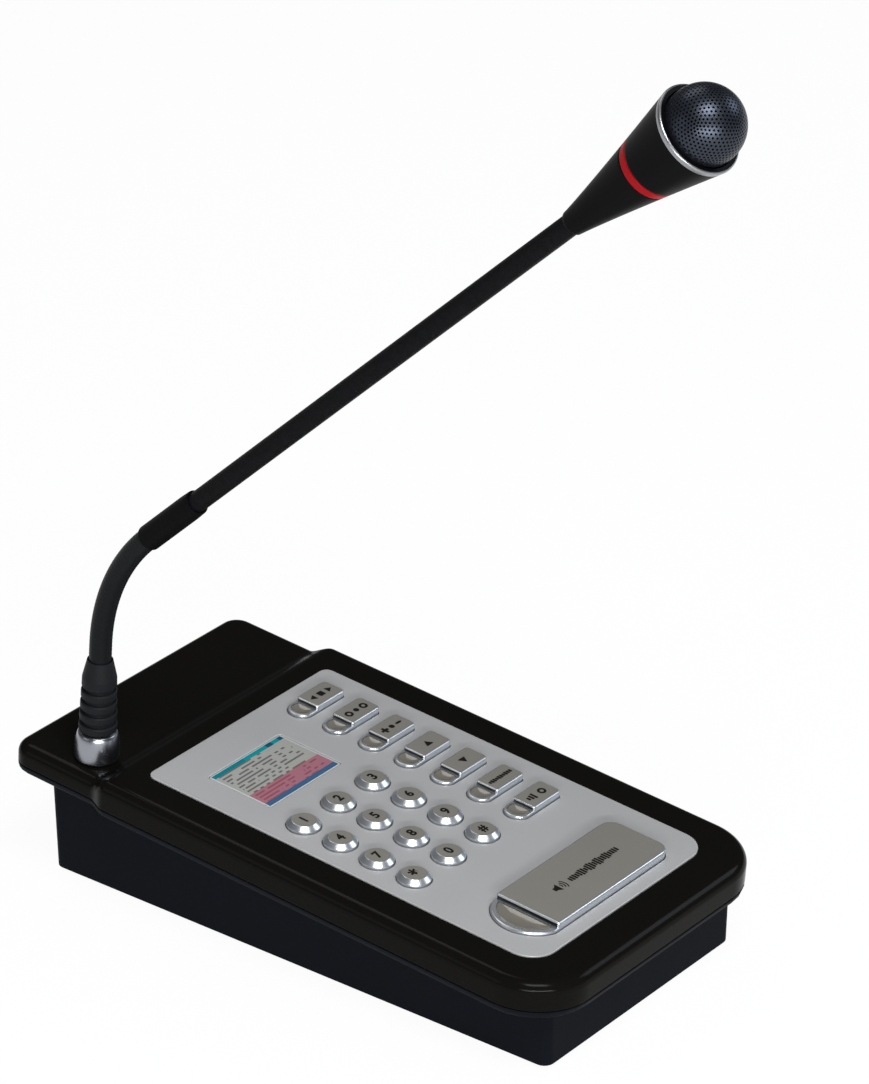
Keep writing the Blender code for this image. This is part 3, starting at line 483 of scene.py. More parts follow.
def makeGrainGroup():
    # fine moulded texture: small rounded cells with finer noise on them
    tree, start, end = newGroup("mouldGrain", ("Place", "Size", "Cells"), ("Height",))
    cells = newNode(tree, "TexVoronoi", {"Vector": start["Place"], "Scale": start["Size"]})
    fine = noise(start["Place"], start["Size"])
    bumps = times(cells.outputs["Distance"], start["Cells"])
    feed(end["Height"], plus(fine, bumps))
    return tree


groups = {
    "tone": makeToneGroup(), "wear": makeWearGroup(), "smudge": makeSmudgeGroup(), "grain": makeGrainGroup(),
}
# colours out of 255 and bump depth in millimetres, the rest as the groups and the shader take it
plainLook = dict(
    color=(128, 128, 128), worn=(150, 150, 150), rough=0.5, wornRough=0.4, metal=0.0, gloss=0.5, tone=0.06,
    patch=45, speck=1500, smudge=0.1, wear=0.4, grain=2200, cells=0.5, depth=0.02, sockets={},
)
# painted shade: the step wall is coloured dark green-grey, as it looks in shade and dark reflection
paintedStepShade = (34, 40, 36)                       # the step between a long key's pad and its nose


def placeGroup(name, inputs):
    return newNode(inputs["Place"].id_data, "Group", inputs, node_tree=groups[name]).outputs


def newFinish(name):
    finish = assign(bpy.data.materials.new(name), use_nodes=True)
    return finish, finish.node_tree, finish.node_tree.nodes["Principled BSDF"]


def makeFinish(name, changes):
    # one material: tone drift, smudges and edge wear on the colour and gloss, and grain in the bump
    look = Settings(plainLook, **changes)
    finish, tree, shader = newFinish(name)
    place = newNode(tree, "TexCoord").outputs["Object"]
    if not callable(look.color):
        look["color"] = linear(*look.color)
    for key in ("color", "rough", "metal"):
        if callable(look[key]):
            look[key] = look[key](tree)
    tone = placeGroup("tone", {
        "Place": place, "Color": look.color, "Amount": look.tone, "Patch": look.patch, "Speck": look.speck,
    })
    smudge = placeGroup("smudge", {"Place": place, "Roughness": look.rough, "Amount": look.smudge})
    worn = placeGroup("wear", {
        "Place": place, "Color": tone["Color"], "Worn Color": linear(*look.worn),
        "Roughness": smudge["Roughness"], "Worn Roughness": look.wornRough, "Amount": look.wear,
    })
    grain = placeGroup("grain", {"Place": place, "Size": look.grain, "Cells": look.cells})
    bump = newNode(tree, "Bump", {"Strength": 1.0, "Distance": look.depth * mm, "Height": grain["Height"]})
    feedAll(shader, {
        "Base Color": worn["Color"], "Roughness": worn["Roughness"], "Normal": bump.outputs["Normal"],
        "Metallic": look.metal, "Specular IOR Level": look.gloss, **look.sockets,
    })
    return finish


def capped(side, top):
    # a value or colour that is side, and top on a key's flat top face; a colour also gets painted shade on a
    # long key's step wall
    def socket(tree):
        cap = maskOf(tree, "cap")
        if isinstance(side, tuple):
            out = mixColor(cap, linear(*side), linear(*top))
            # painted shade on the step wall between the pad and the nose
            return mixColor(maskOf(tree, "step"), out, linear(*paintedStepShade))
        return plus(times(cap, top - side), side)
    return socket


looks = {
    "coverPlastic": dict(
        color=(14, 13, 11), worn=(30, 29, 27), rough=0.14, wornRough=0.13, gloss=0.036, tone=0.05,
        smudge=0.04, wear=0.2, grain=2600, depth=0.008),
    "basePlastic": dict(
        color=(15, 17, 22), worn=(34, 39, 46), wornRough=0.38, gloss=0.02, grain=2300, depth=0.016),
    "panelPaint": dict(
        color=(166, 165, 165), worn=(215, 216, 218), rough=0.36, wornRough=0.28, metal=0.15, tone=0.035,
        speck=5200, smudge=0.06, wear=0.5, grain=5200, cells=0.2, depth=0.004),
    "keyPaint": dict(
        color=capped((206, 209, 214), (130, 127, 120)), worn=(226, 228, 232), rough=capped(0.28, 0.38),
        wornRough=0.24, metal=capped(0.9, 0.3), tone=0.03, speck=5200, smudge=0.04, wear=0.25,
        grain=5200, cells=0.2, depth=0.003),
    "legendInk": dict(color=(30, 28, 25), rough=0.6, gloss=0.0, wear=0.0, tone=0.0, depth=0.004),
    "bootRubber": dict(color=(24, 25, 27), worn=(44, 45, 48), wornRough=0.42, gloss=0.08, grain=1900),
    "conduitSleeve": dict(color=(18, 19, 21), rough=0.42, gloss=0.07, grain=1700, depth=0.016),
    "tubePaint": dict(color=(8, 8, 9), worn=(30, 30, 32), rough=0.45, gloss=0.03, grain=3000, depth=0.008),
    "headPlastic": dict(
        color=(7, 7, 8), worn=(30, 30, 32), rough=0.4, wornRough=0.3, gloss=0.03, grain=3000, depth=0.008),
    "rimPaint": dict(
        color=(150, 151, 154), worn=(160, 161, 164), rough=0.32, metal=0.9, grain=4000, depth=0.003),
    "grilleMetal": dict(
        color=(54, 58, 67), worn=(62, 66, 75), rough=0.39, wornRough=0.37, metal=0.9, tone=0.08,
        grain=4200, depth=0.004),
    "liningCloth": dict(color=(8, 8, 9), rough=0.95, gloss=0.05, grain=2600, depth=0.06),
    "nutChrome": dict(
        color=(150, 152, 159), worn=(195, 197, 203), rough=0.28, wornRough=0.2, metal=1.0, tone=0.03,
        smudge=0.05, grain=3600, depth=0.002),
    "plainSteel": dict(
        color=(150, 150, 152), worn=(190, 190, 192), rough=0.34, metal=1.0, grain=3000, depth=0.004),
    "footRubber": dict(color=(18, 18, 19), rough=0.8, gloss=0.2, grain=1500, depth=0.04),
    "keypadSilicone": dict(color=(150, 150, 148), rough=0.6, gloss=0.4, grain=1500),
    "boardLacquer": dict(
        color=(28, 84, 48), worn=(90, 130, 80), rough=0.35, tone=0.14, patch=240, grain=1800, depth=0.01),
    "ringPlastic": dict(
        color=(132, 6, 14), worn=(150, 14, 22), rough=0.4, gloss=0.06, depth=0.004,
        sockets={"Emission Color": linear(170, 8, 18), "Emission Strength": 0.1}),
    "lensPlastic": dict(
        color=(120, 116, 106), rough=0.14, gloss=0.6, smudge=0.03, tone=0.02, wear=0.0, grain=900,
        depth=0.0, sockets={"Transmission Weight": 0.2, "IOR": 1.49}),
}
finishes = {name: makeFinish(name, look) for name, look in looks.items()}
print("materials made")


# Top cover
cover = inMm(
    half=67.5, front=-124, rear=125.6, frontCorner=24, rearCorner=8, depth=11, wall=2.5, skin=5.5, edge=4.5,
    lip=0.5, drop=3, inset=3, rampFront=78, rampRear=87, recess=(52.0, -107.0, 71.1, 10.8, 3.8),
    recessFloor=-1.2, recessEdge=0.35, well=(46.9, -102.0, 65.3, 3, 3), stops=(5, 2.5),
)
coverRings = Settings(lip=5, edge=15, deck=56, recess=4)
# points along half an outline: front edge, corner, the side in three stretches, corner, rear edge
counts = (22, 26, 54, 16, 14, 14, 24)


def ramp(share):
    # the S-curve 3s^2 - 2s^3 that the side and the deck follow between the two levels
    share = np.clip(share, 0, 1)
    return share * share * (3 - 2 * share)


def outlineWith(side, half, rearHalf, front, rear, corner, rearCorner):
    # front edge and corner, the given side, rear corner and edge, with their left twin
    right = np.vstack((
        line((0, front), (half - corner, front), counts[0]),
        arcPoints((half - corner, front + corner), corner, -90, 0, counts[1])[:-1],
        side,
        arcPoints((rearHalf - rearCorner, rear - rearCorner), rearCorner, 0, 90, counts[5])[:-1],
        line((rearHalf - rearCorner, rear), (0, rear), counts[6], True),
    ))
    return np.vstack((right, right[::-1] * (-1, 1)))


def coverRing(inset):
    # the cover's outline drawn in by inset, with the same number of points at every inset
    half, corner = cover.half - inset, cover.frontCorner - inset
    rearHalf, rearCorner = half - cover.inset, cover.rearCorner - inset
    front, rear = cover.front + inset, cover.rear - inset
    along = np.linspace(0, 1, counts[3])
    step = np.column_stack((
        half - cover.inset * ramp(along),
        cover.rampFront + (cover.rampRear - cover.rampFront) * along,
    ))
    side = np.vstack((
        line((half, front + corner), (half, cover.rampFront), counts[2]),
        step[:-1],
        line((rearHalf, cover.rampRear), (rearHalf, rear - rearCorner), counts[4]),
    ))
    return outlineWith(side, half, rearHalf, front, rear, corner, rearCorner)


def boxRing(half, front, rear, corner, rearCorner, grow=0.0):
    # a rounded rectangle with as many points as the cover's outline, so that strips join the two
    half, front, rear = half + grow, front - grow, rear + grow
    corner, rearCorner = corner + grow, rearCorner + grow
    high = rear - rearCorner
    stops = (front + corner, *(high - cover.stops), high)
    stretches = zip(stops, stops[1:], (counts[2], counts[3] - 1, counts[4]))
    side = np.vstack([line((half, low), (half, top), count) for low, top, count in stretches])
    return outlineWith(side, half, half, front, rear, corner, rearCorner)


def deckHeight(ring):
    share = (ring[:, 1] - cover.rampFront) / (cover.rampRear - cover.rampFront)
    return -cover.drop * ramp(share)


def makeCover():
    # rings from the lower lip up the side, over the rim, across the deck, into the recess and back under it
    rings = []

    def add(ring, height):
        rings.append(withHeight(ring, height))

    for angle in np.radians(np.linspace(0, 90, coverRings.lip)):
        inset = cover.lip * (1 - math.sin(angle))
        add(coverRing(inset), -cover.depth + cover.lip * (1 - math.cos(angle)))
    for angle in np.radians(np.linspace(0, 90, coverRings.edge)):
        ring = coverRing(cover.edge * (1 - math.cos(angle)))
        add(ring, deckHeight(ring) - cover.edge * (1 - math.sin(angle)))
    outer, inner = coverRing(cover.edge), boxRing(*cover.recess, grow=cover.recessEdge)
    for share in np.linspace(0, 1, coverRings.deck + 1)[1:]:
        ring = outer * (1 - share) + inner * share
        add(ring, deckHeight(ring))
    for angle in np.radians(np.linspace(20, 90, coverRings.recess)):
        grow = cover.recessEdge * (1 - math.sin(angle))
        add(boxRing(*cover.recess, grow=grow), -cover.recessEdge * (1 - math.cos(angle)))
    add(boxRing(*cover.recess), cover.recessFloor)
    add(boxRing(*cover.well), cover.recessFloor)
    add(boxRing(*cover.well), -cover.skin)
    add(coverRing(cover.wall), -cover.skin)
    add(coverRing(cover.wall), -cover.depth)
    mesh = gridMesh(np.array(rings), closed=True, sharp=45.0)
    addPiece("topCover", mesh, deckSpot, "coverPlastic", "console", "top_cover")


def makeBase():
    # the shell's own solid, with its flat faces joined and every sharp edge broken
    mesh = tidyMesh(tidyMesh(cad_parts["base_shell"].data.copy()), 30.0, flat=0.4)
    addPiece("baseShell", mesh, Matrix.Identity(4), "basePlastic", "console", "base_shell",
             bevel=0.35 * mm)


# Front panel and its keys, all in the deck's frame
panel = inMm(
    half=51.7, front=-106.7, rear=70.8, frontCorner=10.5, rearCorner=3.5, low=-0.9, high=0.3, edge=0.28,
    gap=0.3,
)
numberKey = inMm(
    radius=6.35, high=2.6, legend=5.5, star=8.25, starDrop=0.9,
    profile=((0, 2.6), (4.6, 2.6), (6.35, 1.1), (6.35, -1.2), (7.35, -1.2), (7.35, -2), (0, -2)),
    fillets=(0, 0.35, 0.25, 0.25 / 3, 0.25 / 3, 0.25 / 3, 0),
)
functionKey = inMm(
    left=16.4, right=40.8, step=24.4, depth=10.2, leftBulge=3.8, rightCorner=1.8, high=2.8, edge=0.5,
    border=1.2,
)
talkBar = inMm(
    left=-42.0, right=37.0, step=-30.3, depth=28.0, leftBulge=9.8, rightCorner=5.5, high=3.3, edge=0.7,
    border=2.2, mark=3,
)
longKey = inMm(
    shelf=1.3, corner=1.2, pocket=1.0, pocketEdge=0.05, flange=1.0, flangeTop=-1.2, flangeLow=-2.0,
    flangeEdge=0.1, overlap=0.3, above=1,
)
lens = Settings(inMm(gap=0.15, high=1.25, edge=0.15, chord=0.5, dish=0.45), rim=0.94, dished=0.9, rows=14)
screen = inMm(left=-37.6, right=3.0, front=24.3, rear=53.2, corner=0.8, low=-0.9, high=0.1, edge=0.15)
ink = inMm(low=-0.02, high=0.03, bolder=0.2)
legends = "123456789*0#"
markScale = 1.3                                # size of the function keys' marks


def squareEnd(key, middle, grow=0.0, steps=10):
    # the right end: two corner arcs that keep their centres when the outline grows
    corner = key.rightCorner
    across, reach = key.right - corner, key.depth / 2 - corner
    return np.vstack((
        arcPoints((across, middle - reach), corner + grow, -90, 0, steps),
        arcPoints((across, middle + reach), corner + grow, 0, 90, steps),
    ))


def noseEnd(key, middle, grow=0.0, steps=24):
    # the left end: one arc over the key's depth, standing out by the bulge
    half, bulge = key.depth / 2 + grow, key.leftBulge + grow
    radius = (half * half + bulge * bulge) / (2 * bulge)
    spread = math.degrees(math.asin(min(half / radius, 1.0)))
    return arcPoints((key.left - grow + radius, middle), radius, 180 - spread, 180 + spread, steps)


def keyOutline(key, middle, grow=0.0):
    return np.vstack((squareEnd(key, middle, grow), noseEnd(key, middle, grow)))


def screenOutline(grow=0.0):
    corner = screen.corner + grow
    return roundedBox(screen.left - grow, screen.right + grow, screen.front - grow,
                      screen.rear + grow, corner, corner, 6)


def middleOf(node):
    low, high = localBox(node, deckSpot)
    return (low[:2] + high[:2]) / 2


def makePanel():
    gap = panel.gap
    outlines = [roundedBox(-panel.half, panel.half, panel.front, panel.rear,
                           panel.frontCorner, panel.rearCorner)]
    outlines += [circlePoints(middleOf(f"number_key_{n}"), numberKey.radius + gap) for n in range(1, 13)]
    outlines += [keyOutline(functionKey, middleOf(f"function_key_{n}")[1], gap) for n in range(1, 8)]
    outlines += [keyOutline(talkBar, middleOf("talk_bar")[1], gap), screenOutline(gap)]
    mesh = flatMesh(outlines, panel.low, panel.high, panel.edge)
    addPiece("frontPanel", mesh, deckSpot, "panelPaint", "console", "front_panel")


def makeNumberKeys():
    key = numberKey
    grid = turnedGrid(filleted(key.profile, key.fillets, 6), 80)
    for number, legend in enumerate(legends, 1):
        name = f"number_key_{number}"
        spot = deckSpot @ shift((*middleOf(name), 0))
        mesh = markCaps(gridMesh(grid, sharp=60.0), key.high)
        addPiece(f"numberKey{number:02d}", mesh, spot, "keyPaint", name, name)
        size, drop = (key.star, key.starDrop) if legend == "*" else (key.legend, 0)
        mark = textMesh(legend, size, key.high + ink.low, key.high + ink.high)
        addPiece(f"numberKeyMark{number:02d}", mark, spot @ shift((0, -drop, 0)), "legendInk", name,
                 weighted=False)


def lensOutline(key, inset):
    half = key.depth / 2
    nose = (half * half + key.leftBulge ** 2) / (2 * key.leftBulge)
    middle = key.left + nose
    radius = nose - key.border - inset
    chord = key.step - lens.chord - inset
    spread = math.degrees(math.acos((middle - chord) / radius))
    return arcPoints((middle, 0.0), radius, 180 - spread, 180 + spread, 28)


def longKeyMesh(key):
    # flange, stem with a low nose, and a raised pad, joined, with a pocket cut for the lens
    shelf, edge, corner = longKey.shelf, key.edge, longKey.corner
    across, reach = key.step + corner, key.depth / 2 - corner
    flange = flatMesh([keyOutline(key, 0.0, longKey.flange)], longKey.flangeLow, longKey.flangeTop,
                      longKey.flangeEdge, 1)
    stem = flatMesh([keyOutline(key, 0.0)], longKey.flangeTop - longKey.overlap, shelf, edge, 4)
    padOutline = np.vstack((
        squareEnd(key, 0.0),
        arcPoints((across, reach), corner, 90, 180, 8),
        arcPoints((across, -reach), corner, 180, 270, 8),
    ))
    pad = flatMesh([padOutline], shelf - 2 * edge, key.high, edge, 4)
    body = cutMesh(cutMesh(flange, stem, "UNION"), pad, "UNION")
    pocket = flatMesh([lensOutline(key, 0.0)], shelf - longKey.pocket, key.high + longKey.above,
                      longKey.pocketEdge, 1)
    return markCaps(cutMesh(body, pocket), key.high, key.step, shelf)


def lensMesh(key):
    # a dished lens: rings of the outline, scaled by s, whose height falls by dish (1 - s^2) to the middle
    low, high = longKey.shelf - longKey.pocket + lens.gap, lens.high
    arc = lensOutline(key, lens.gap)
    outline = np.vstack((arc, line(arc[-1], arc[0], 14)[1:]))
    middle = (outline.min(0) + outline.max(0)) / 2
    rows = [(0, low), (1, low), (1, high - lens.edge), (lens.rim, high)]
    for share in np.linspace(lens.dished, 0, lens.rows):
        rows.append((share, high - lens.dish * (1 - (share / lens.dished) ** 2)))
    rings = [withHeight(middle + (outline - middle) * share, height) for share, height in rows]
    return gridMesh(np.array(rings), sharp=40.0)


# Marks: plain outlines in millimetres
def bars(count, pitch, width, heights):
    # upright bars side by side, centred: each is a small box outline
    left = (np.arange(count) - (count - 1) / 2) * pitch
    return [roundedBox(x - width / 2, x + width / 2, -h / 2, h / 2, width * 0.3, width * 0.3, 3)
            for x, h in zip(left, heights)]


def polygon(points):
    return [filleted(points, 0.15, 3, closed=True)]


def ringPart(middle, radius, width, start, end):
    return np.vstack((arcPoints(middle, radius + width / 2, start, end, 16),
                      arcPoints(middle, radius - width / 2, end, start, 16)))


def shifted(outlines, across):
    return [outline + (across, 0) for outline in outlines]


def functionMarks():
    # plain symbols: arrows, bars, dots and squares
    left = polygon(((-1.2, 0), (0.9, 1.25), (0.9, -1.25)))
    right = polygon(((1.2, 0), (-0.9, -1.25), (-0.9, 1.25)))
    up = polygon(((0, 1.35), (-1.5, -1.1), (1.5, -1.1)))
    down = polygon(((0, -1.35), (1.5, 1.1), (-1.5, 1.1)))
    dot = [circlePoints((0, 0), 0.9, 24)]
    square = [roundedBox(-1.1, 1.1, -1.1, 1.1, 0.2, 0.2, 4)]
    ring = [circlePoints((0, 0), 1.35, 40), circlePoints((0, 0), 0.6, 40)]
    wave = bars(10, 1.0, 0.85, 1.1 + 0.5 * np.abs(np.sin(np.arange(10) * 1.1)))
    arm, quarter = ((-0.45, 1.35), (-0.45, 0.45), (-1.35, 0.45)), ((0, 1), (-1, 0))
    cross = polygon(np.vstack([arm @ np.linalg.matrix_power(quarter, turns) for turns in range(4)]))
    return (
        shifted(left, -3.4) + square + shifted(right, 3.4),
        shifted(ring, -3.2) + dot + shifted(ring, 3.2),
        shifted(cross, -3) + dot + shifted(bars(1, 1, 2.6, (0.9,)), 3),
        up,
        down,
        wave,
        shifted(bars(3, 1.15, 0.8, (1.5, 2.2, 2.8)), -2.6) + shifted(ring, 2.2),
    )


def talkMarks():
    # a loudspeaker with three arcs, and a row of bars like a voice on a meter
    speaker = polygon(((-1.6, 1.0), (-0.3, 1.0), (1.4, 2.3), (1.4, -2.3), (-0.3, -1.0), (-1.6, -1.0)))
    arcs = [ringPart((1.4, 0), radius, 0.5, -42, 42) for radius in (1.3, 2.4, 3.5)]
    count = 22
    step = np.arange(count)
    swell = np.sin((step + 0.8) * math.pi / (count + 0.6))
    voice = bars(count, 1.3, 1.0, 2.2 + 2.3 * np.abs(np.sin(step * 0.83 + 0.5)) * swell)
    return shifted(speaker + arcs, -16) + shifted(voice, 5.6)


def addLongKey(key, node, lensNode, names, mesh, lensPart, marks, scale, across):
    # a key with its lens in the nose, and its marks printed on the pad
    spot = deckSpot @ shift((0, middleOf(node)[1], 0))
    addPiece(names[0], mesh, spot, "keyPaint", node, node)
    addPiece(names[1], lensPart, spot, "lensPlastic", node, lensNode)
    outlines = [outline * (scale * mm) for outline in marks]
    mark = flatMesh(outlines, key.high + ink.low, key.high + ink.high, 0.0, 0)
    addPiece(names[2], mark, spot @ shift((across, 0, 0)), "legendInk", node, weighted=False)


def makeLongKeys():
    mesh, lensPart = longKeyMesh(functionKey), lensMesh(functionKey)
    across = (functionKey.step + functionKey.right) / 2
    for n, marks in enumerate(functionMarks(), 1):
        addLongKey(functionKey, f"function_key_{n}", f"function_lens_{n}",
                   (f"functionKey{n}", f"functionLens{n}", f"functionMark{n}"), mesh.copy(), lensPart.copy(),
                   marks, markScale, across)
    addLongKey(talkBar, "talk_bar", "talk_lens", ("talkBar", "talkLens", "talkMark"), longKeyMesh(talkBar),
               lensMesh(talkBar), talkMarks(), 1.0, talkBar.mark)


# The screen's picture, measured in shares of its width and height
picture = Settings(
    rows=15, columns=22, border=0.018, dash=(0.3, 0.75), text=(0.06, 0.92), thinning=0.7, chance=0.08,
    faint=0.6, signs=((0.76, 0.84), (0.93, 0.98)), title=(0.03, 0.45), titleShare=0.4, markShare=0.8,
    footerTop=0.1, blockTop=0.36, headerLow=0.91,
)
pictureColors = dict(
    header=(0, 126, 132), headerMark=(8, 44, 84), page=(146, 146, 141), print=(92, 90, 90),
    block=(146, 96, 108), blockPrint=(116, 44, 60), footer=(52, 84, 116), line=(172, 174, 174),
)


def screenColor(tree):
    # bars and rows of dashes on the window's own flat map, 0 to 1 across and 0 to 1 from front to rear
    shade = Settings({name: linear(*color) for name, color in pictureColors.items()})
    flat = newNode(tree, "UVMap", uv_map="screen").outputs["UV"]
    split = newNode(tree, "SeparateXYZ", {"Vector": flat}).outputs
    across, upward = split["X"], split["Y"]
    row, column = times(upward, picture.rows), times(across, picture.columns)
    cell = {"X": joinMath("FLOOR", column), "Y": joinMath("FLOOR", row)}
    cell = newNode(tree, "CombineXYZ", cell).outputs["Vector"]
    chance = newNode(tree, "TexWhiteNoise", {"Vector": cell}, noise_dimensions="2D").outputs["Value"]
    least = plus(times(across, picture.thinning), picture.chance)
    dash = times(band(joinMath("FRACT", row), *picture.dash), joinMath("GREATER_THAN", chance, least))
    dash = times(dash, band(across, *picture.text))
    page = mixColor(dash, shade.page, shade.print)
    block = mixColor(times(dash, picture.faint), shade.block, shade.blockPrint)
    title = times(band(across, *picture.title), picture.titleShare)
    mark = plus(plus(*(band(across, *sign) for sign in picture.signs)), title)
    header = mixColor(times(mark, picture.markShare), shade.header, shade.headerMark)
    out = mixColor(joinMath("LESS_THAN", upward, picture.blockTop), page, block)
    out = mixColor(joinMath("LESS_THAN", upward, picture.footerTop), out, shade.footer)
    out = mixColor(joinMath("GREATER_THAN", upward, picture.headerLow), out, header)
    ends = (picture.border, 1 - picture.border)
    inside = times(band(across, *ends), band(upward, *ends))
    return mixColor(inside, shade.line, out)


def makeScreen():
    mesh = flatMesh([screenOutline()], screen.low, screen.high, screen.edge)
    place = meshArray(mesh.vertices, "co", 3)[meshArray(mesh.loops, "vertex_index", 1, np.int32)]
    low = np.array((screen.left, screen.front))
    high = np.array((screen.right, screen.rear))
    layer = mesh.uv_layers.new(name="screen")
    layer.data.foreach_set("uv", ((place[:, :2] - low) / (high - low)).astype(np.float32).ravel())
    finish = makeFinish("screenPicture", dict(color=screenColor, rough=0.16, smudge=0.05, wear=0.0, tone=0.02,
                                              grain=900, depth=0.001, sockets={"Emission Strength": 0.12}))
    sockets = finish.node_tree.nodes["Principled BSDF"].inputs
    feed(sockets["Emission Color"], sockets["Base Color"].links[0].from_socket)
    finishes["screenPicture"] = finish
    addPiece("displayWindow", mesh, deckSpot, "screenPicture", "console", "display_window")


# Gooseneck, in the frame of its stud
nut = inMm(
    crown=((4.6, 12), (5.8, 12), (6.35, 11.88)), top=6.7, domeTop=11.5, radius=8.3, skirt=4.4,
    base=((8.3, 4.4), (8.3, 0.3), (4.6, 0.3)), chamfer=0.9,
)
boot = inMm(
    grooveDepth=1.2, pitch=4.6, ring=3.2, top=6.5, bottom=7.1, low=12.3, high=41.6, shoulder=7.2, neck=4.8,
    lip=0.6, bore=4.45, draft=0.1, fillet=0.7, lipFillet=0.25, neckFillet=0.8, shoulderFillet=3,
)
bootRings = 5
conduit = Settings(inMm(radius=4.15, ridgePitch=1.7), ridge=0.006, sides=64, rows=220)


def makeNut():
    angle = np.radians(np.linspace(0, 90, 20))
    dome = np.column_stack((
        nut.top + (nut.radius - nut.top) * np.sin(angle),
        nut.skirt + (nut.domeTop - nut.skirt) * np.cos(angle),
    ))
    profile = np.vstack((nut.crown, dome, filleted(nut.base, nut.chamfer, 8)[1:]))
    addTurned("gooseneckNut", profile, 112, neckSpot, "nutChrome", "console", "gooseneck_nut")


def makeBoot():
    # rounded rings that get smaller upwards, then a shoulder that runs out onto the conduit
    fillet, high = boot.fillet, boot.high
    rows = [(boot.bore, high, 0), (boot.neck, high, boot.lipFillet),
            (boot.neck + boot.draft, high - boot.lip, boot.neckFillet),
            (boot.top - boot.draft, high - boot.shoulder, boot.shoulderFillet)]
    for ring in reversed(range(bootRings)):
        radius = boot.bottom + (boot.top - boot.bottom) * ring / (bootRings - 1)
        low = boot.low + ring * boot.pitch
        if ring < bootRings - 1:
            rows.append((radius, low + boot.ring, fillet))
        rows.append((radius, low, fillet))
        if ring:
            inner = radius - boot.grooveDepth
            rows += [(inner, low, fillet / 2), (inner, low - boot.pitch + boot.ring, fillet / 2)]
    rows = np.array(rows + [(boot.bore, boot.low, 0)])
    addTurned("gooseneckBoot", filleted(rows[:, :2], rows[:, 2]), 96, neckSpot, "bootRubber", "neck",
              "gooseneck_boot")


def makeConduit():
    # a circle carried up a straight stretch, round an arc and along a short straight into the sleeve
    path = conduitPath
    total = path.straight - path.start + path.radius * bend + path.end
    along = np.linspace(0, total, conduit.rows) + path.start
    angle = np.clip((along - path.straight) / path.radius, 0, bend)
    rest = np.maximum(along - path.straight - path.radius * bend, 0)
    forward = -path.radius * (1 - np.cos(angle)) - rest * np.sin(angle)
    height = np.minimum(along, path.straight) + path.radius * np.sin(angle) + rest * np.cos(angle)
    around = np.linspace(0, 2 * math.pi, conduit.sides, endpoint=False)
    ridge = 1 + conduit.ridge * np.sin((along - path.start) / conduit.ridgePitch * 2 * math.pi)
    radius = conduit.radius * np.where(np.abs(along - along.mean()) < 0.49 * total, ridge, 1.0)
    side = np.outer(radius, np.cos(around))
    out = np.outer(radius, np.sin(around))
    grid = np.stack((side, forward[:, None] + out * np.cos(angle)[:, None],
                     height[:, None] + out * np.sin(angle)[:, None]), axis=-1)
    first, last = (row.mean(1, keepdims=True).repeat(conduit.sides, 1) for row in (grid[:1], grid[-1:]))
    mesh = gridMesh(np.concatenate((first, grid, last)))
    piece = addPiece("flexibleConduit", mesh, neckSpot, "conduitSleeve", None, "flexible_conduit")
    start = neckSpot @ shift((0, 0, path.straight))
    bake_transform(piece)


# Arm and head
sleeve = inMm(
    profile=((4.1, 31), (4.65, 31), (4.85, 26), (4.85, 5), (4.85, 0), (4.45, 0), (4.45, 8), (4.1, 8)),
    fillets=(0, 0.4, 6, 6, 0.4, 0, 0, 0),
)
tube = inMm(profile=((2.9, 260.7), (3.8, 260.7), (3.8, 23.3), (2.9, 23.3)))
flarePower = 1.087
head = inMm(
    length=66.9, rim=16.2, start=4.45, seam=39.0, lightLow=39.3, lightHigh=42.7, lightFillet=0.35,
    cupLow=43.0, cupInset=0.2, spigot=((0, 49), (7, 49), (7, 39)), collar=7.3, edge=0.15, footHigh=0.3,
    foot=((4.25, 0), (4.1, 0), (4.1, 9), (0, 9)), rimRound=1.5, trim=15.35, trimIn=15.32, mouth=13.81,
    mouthRound=0.3, rimLow=64.8, lipLow=64.85, rimInset=0.12, rimGap=0.1,
    seat=((7.3, 49.3), (2.4, 49.3), (2.4, 50), (6.3, 50), (6.3, 56), (12.7, 62.4), (13.91, 62.4)),
)
grille = Settings(inMm(
    sphere=13.65, centre=69.2, low=66.5, sheet=0.5, skirtRound=0.1, lining=(12.85, 12.3),
    skirt=((12.75, 62.7), (13.48, 62.7), (13.48, 67.2), (13.4, 67.9), (12.95, 67.9), (12.75, 66.4)),
), holeSteps=12, holeShare=0.3)


def flare(height):
    # r = start + (rim - start) s^flarePower, with s the share of the head's length
    share = np.clip(height / head.length, 0, 1)
    return head.start + (head.rim - head.start) * share ** flarePower


def flareSide(low, high, rows):
    height = np.linspace(high, low, rows)
    return np.column_stack((flare(height), height))


def makeArm():
    addTurned("joiningSleeve", filleted(sleeve.profile, sleeve.fillets, 8), 80, armSpot, "tubePaint", "arm",
              "joining_sleeve")
    addTurned("rigidTube", tube.profile, 72, armSpot, "tubePaint", "arm", "rigid_tube")


def makeHead():
    seam, edge = head.seam, head.edge
    cone = np.vstack((
        head.spigot,
        ((flare(seam) - edge, seam),),
        flareSide(head.footHigh, seam - edge, 40),
        head.foot,
    ))
    addTurned("headCone", cone, 96, headSpot, "headPlastic", "arm", "head_cone",
              closed=False)
    low, high, fillet = head.lightLow, head.lightHigh, head.lightFillet
    corners = ((head.collar, high), (flare(high), high), (flare(low), low), (head.collar, low))
    addTurned("lightRing", filleted(corners, (0, fillet, fillet, 0), 6), 112, headSpot, "ringPlastic", "arm",
              "light_ring")


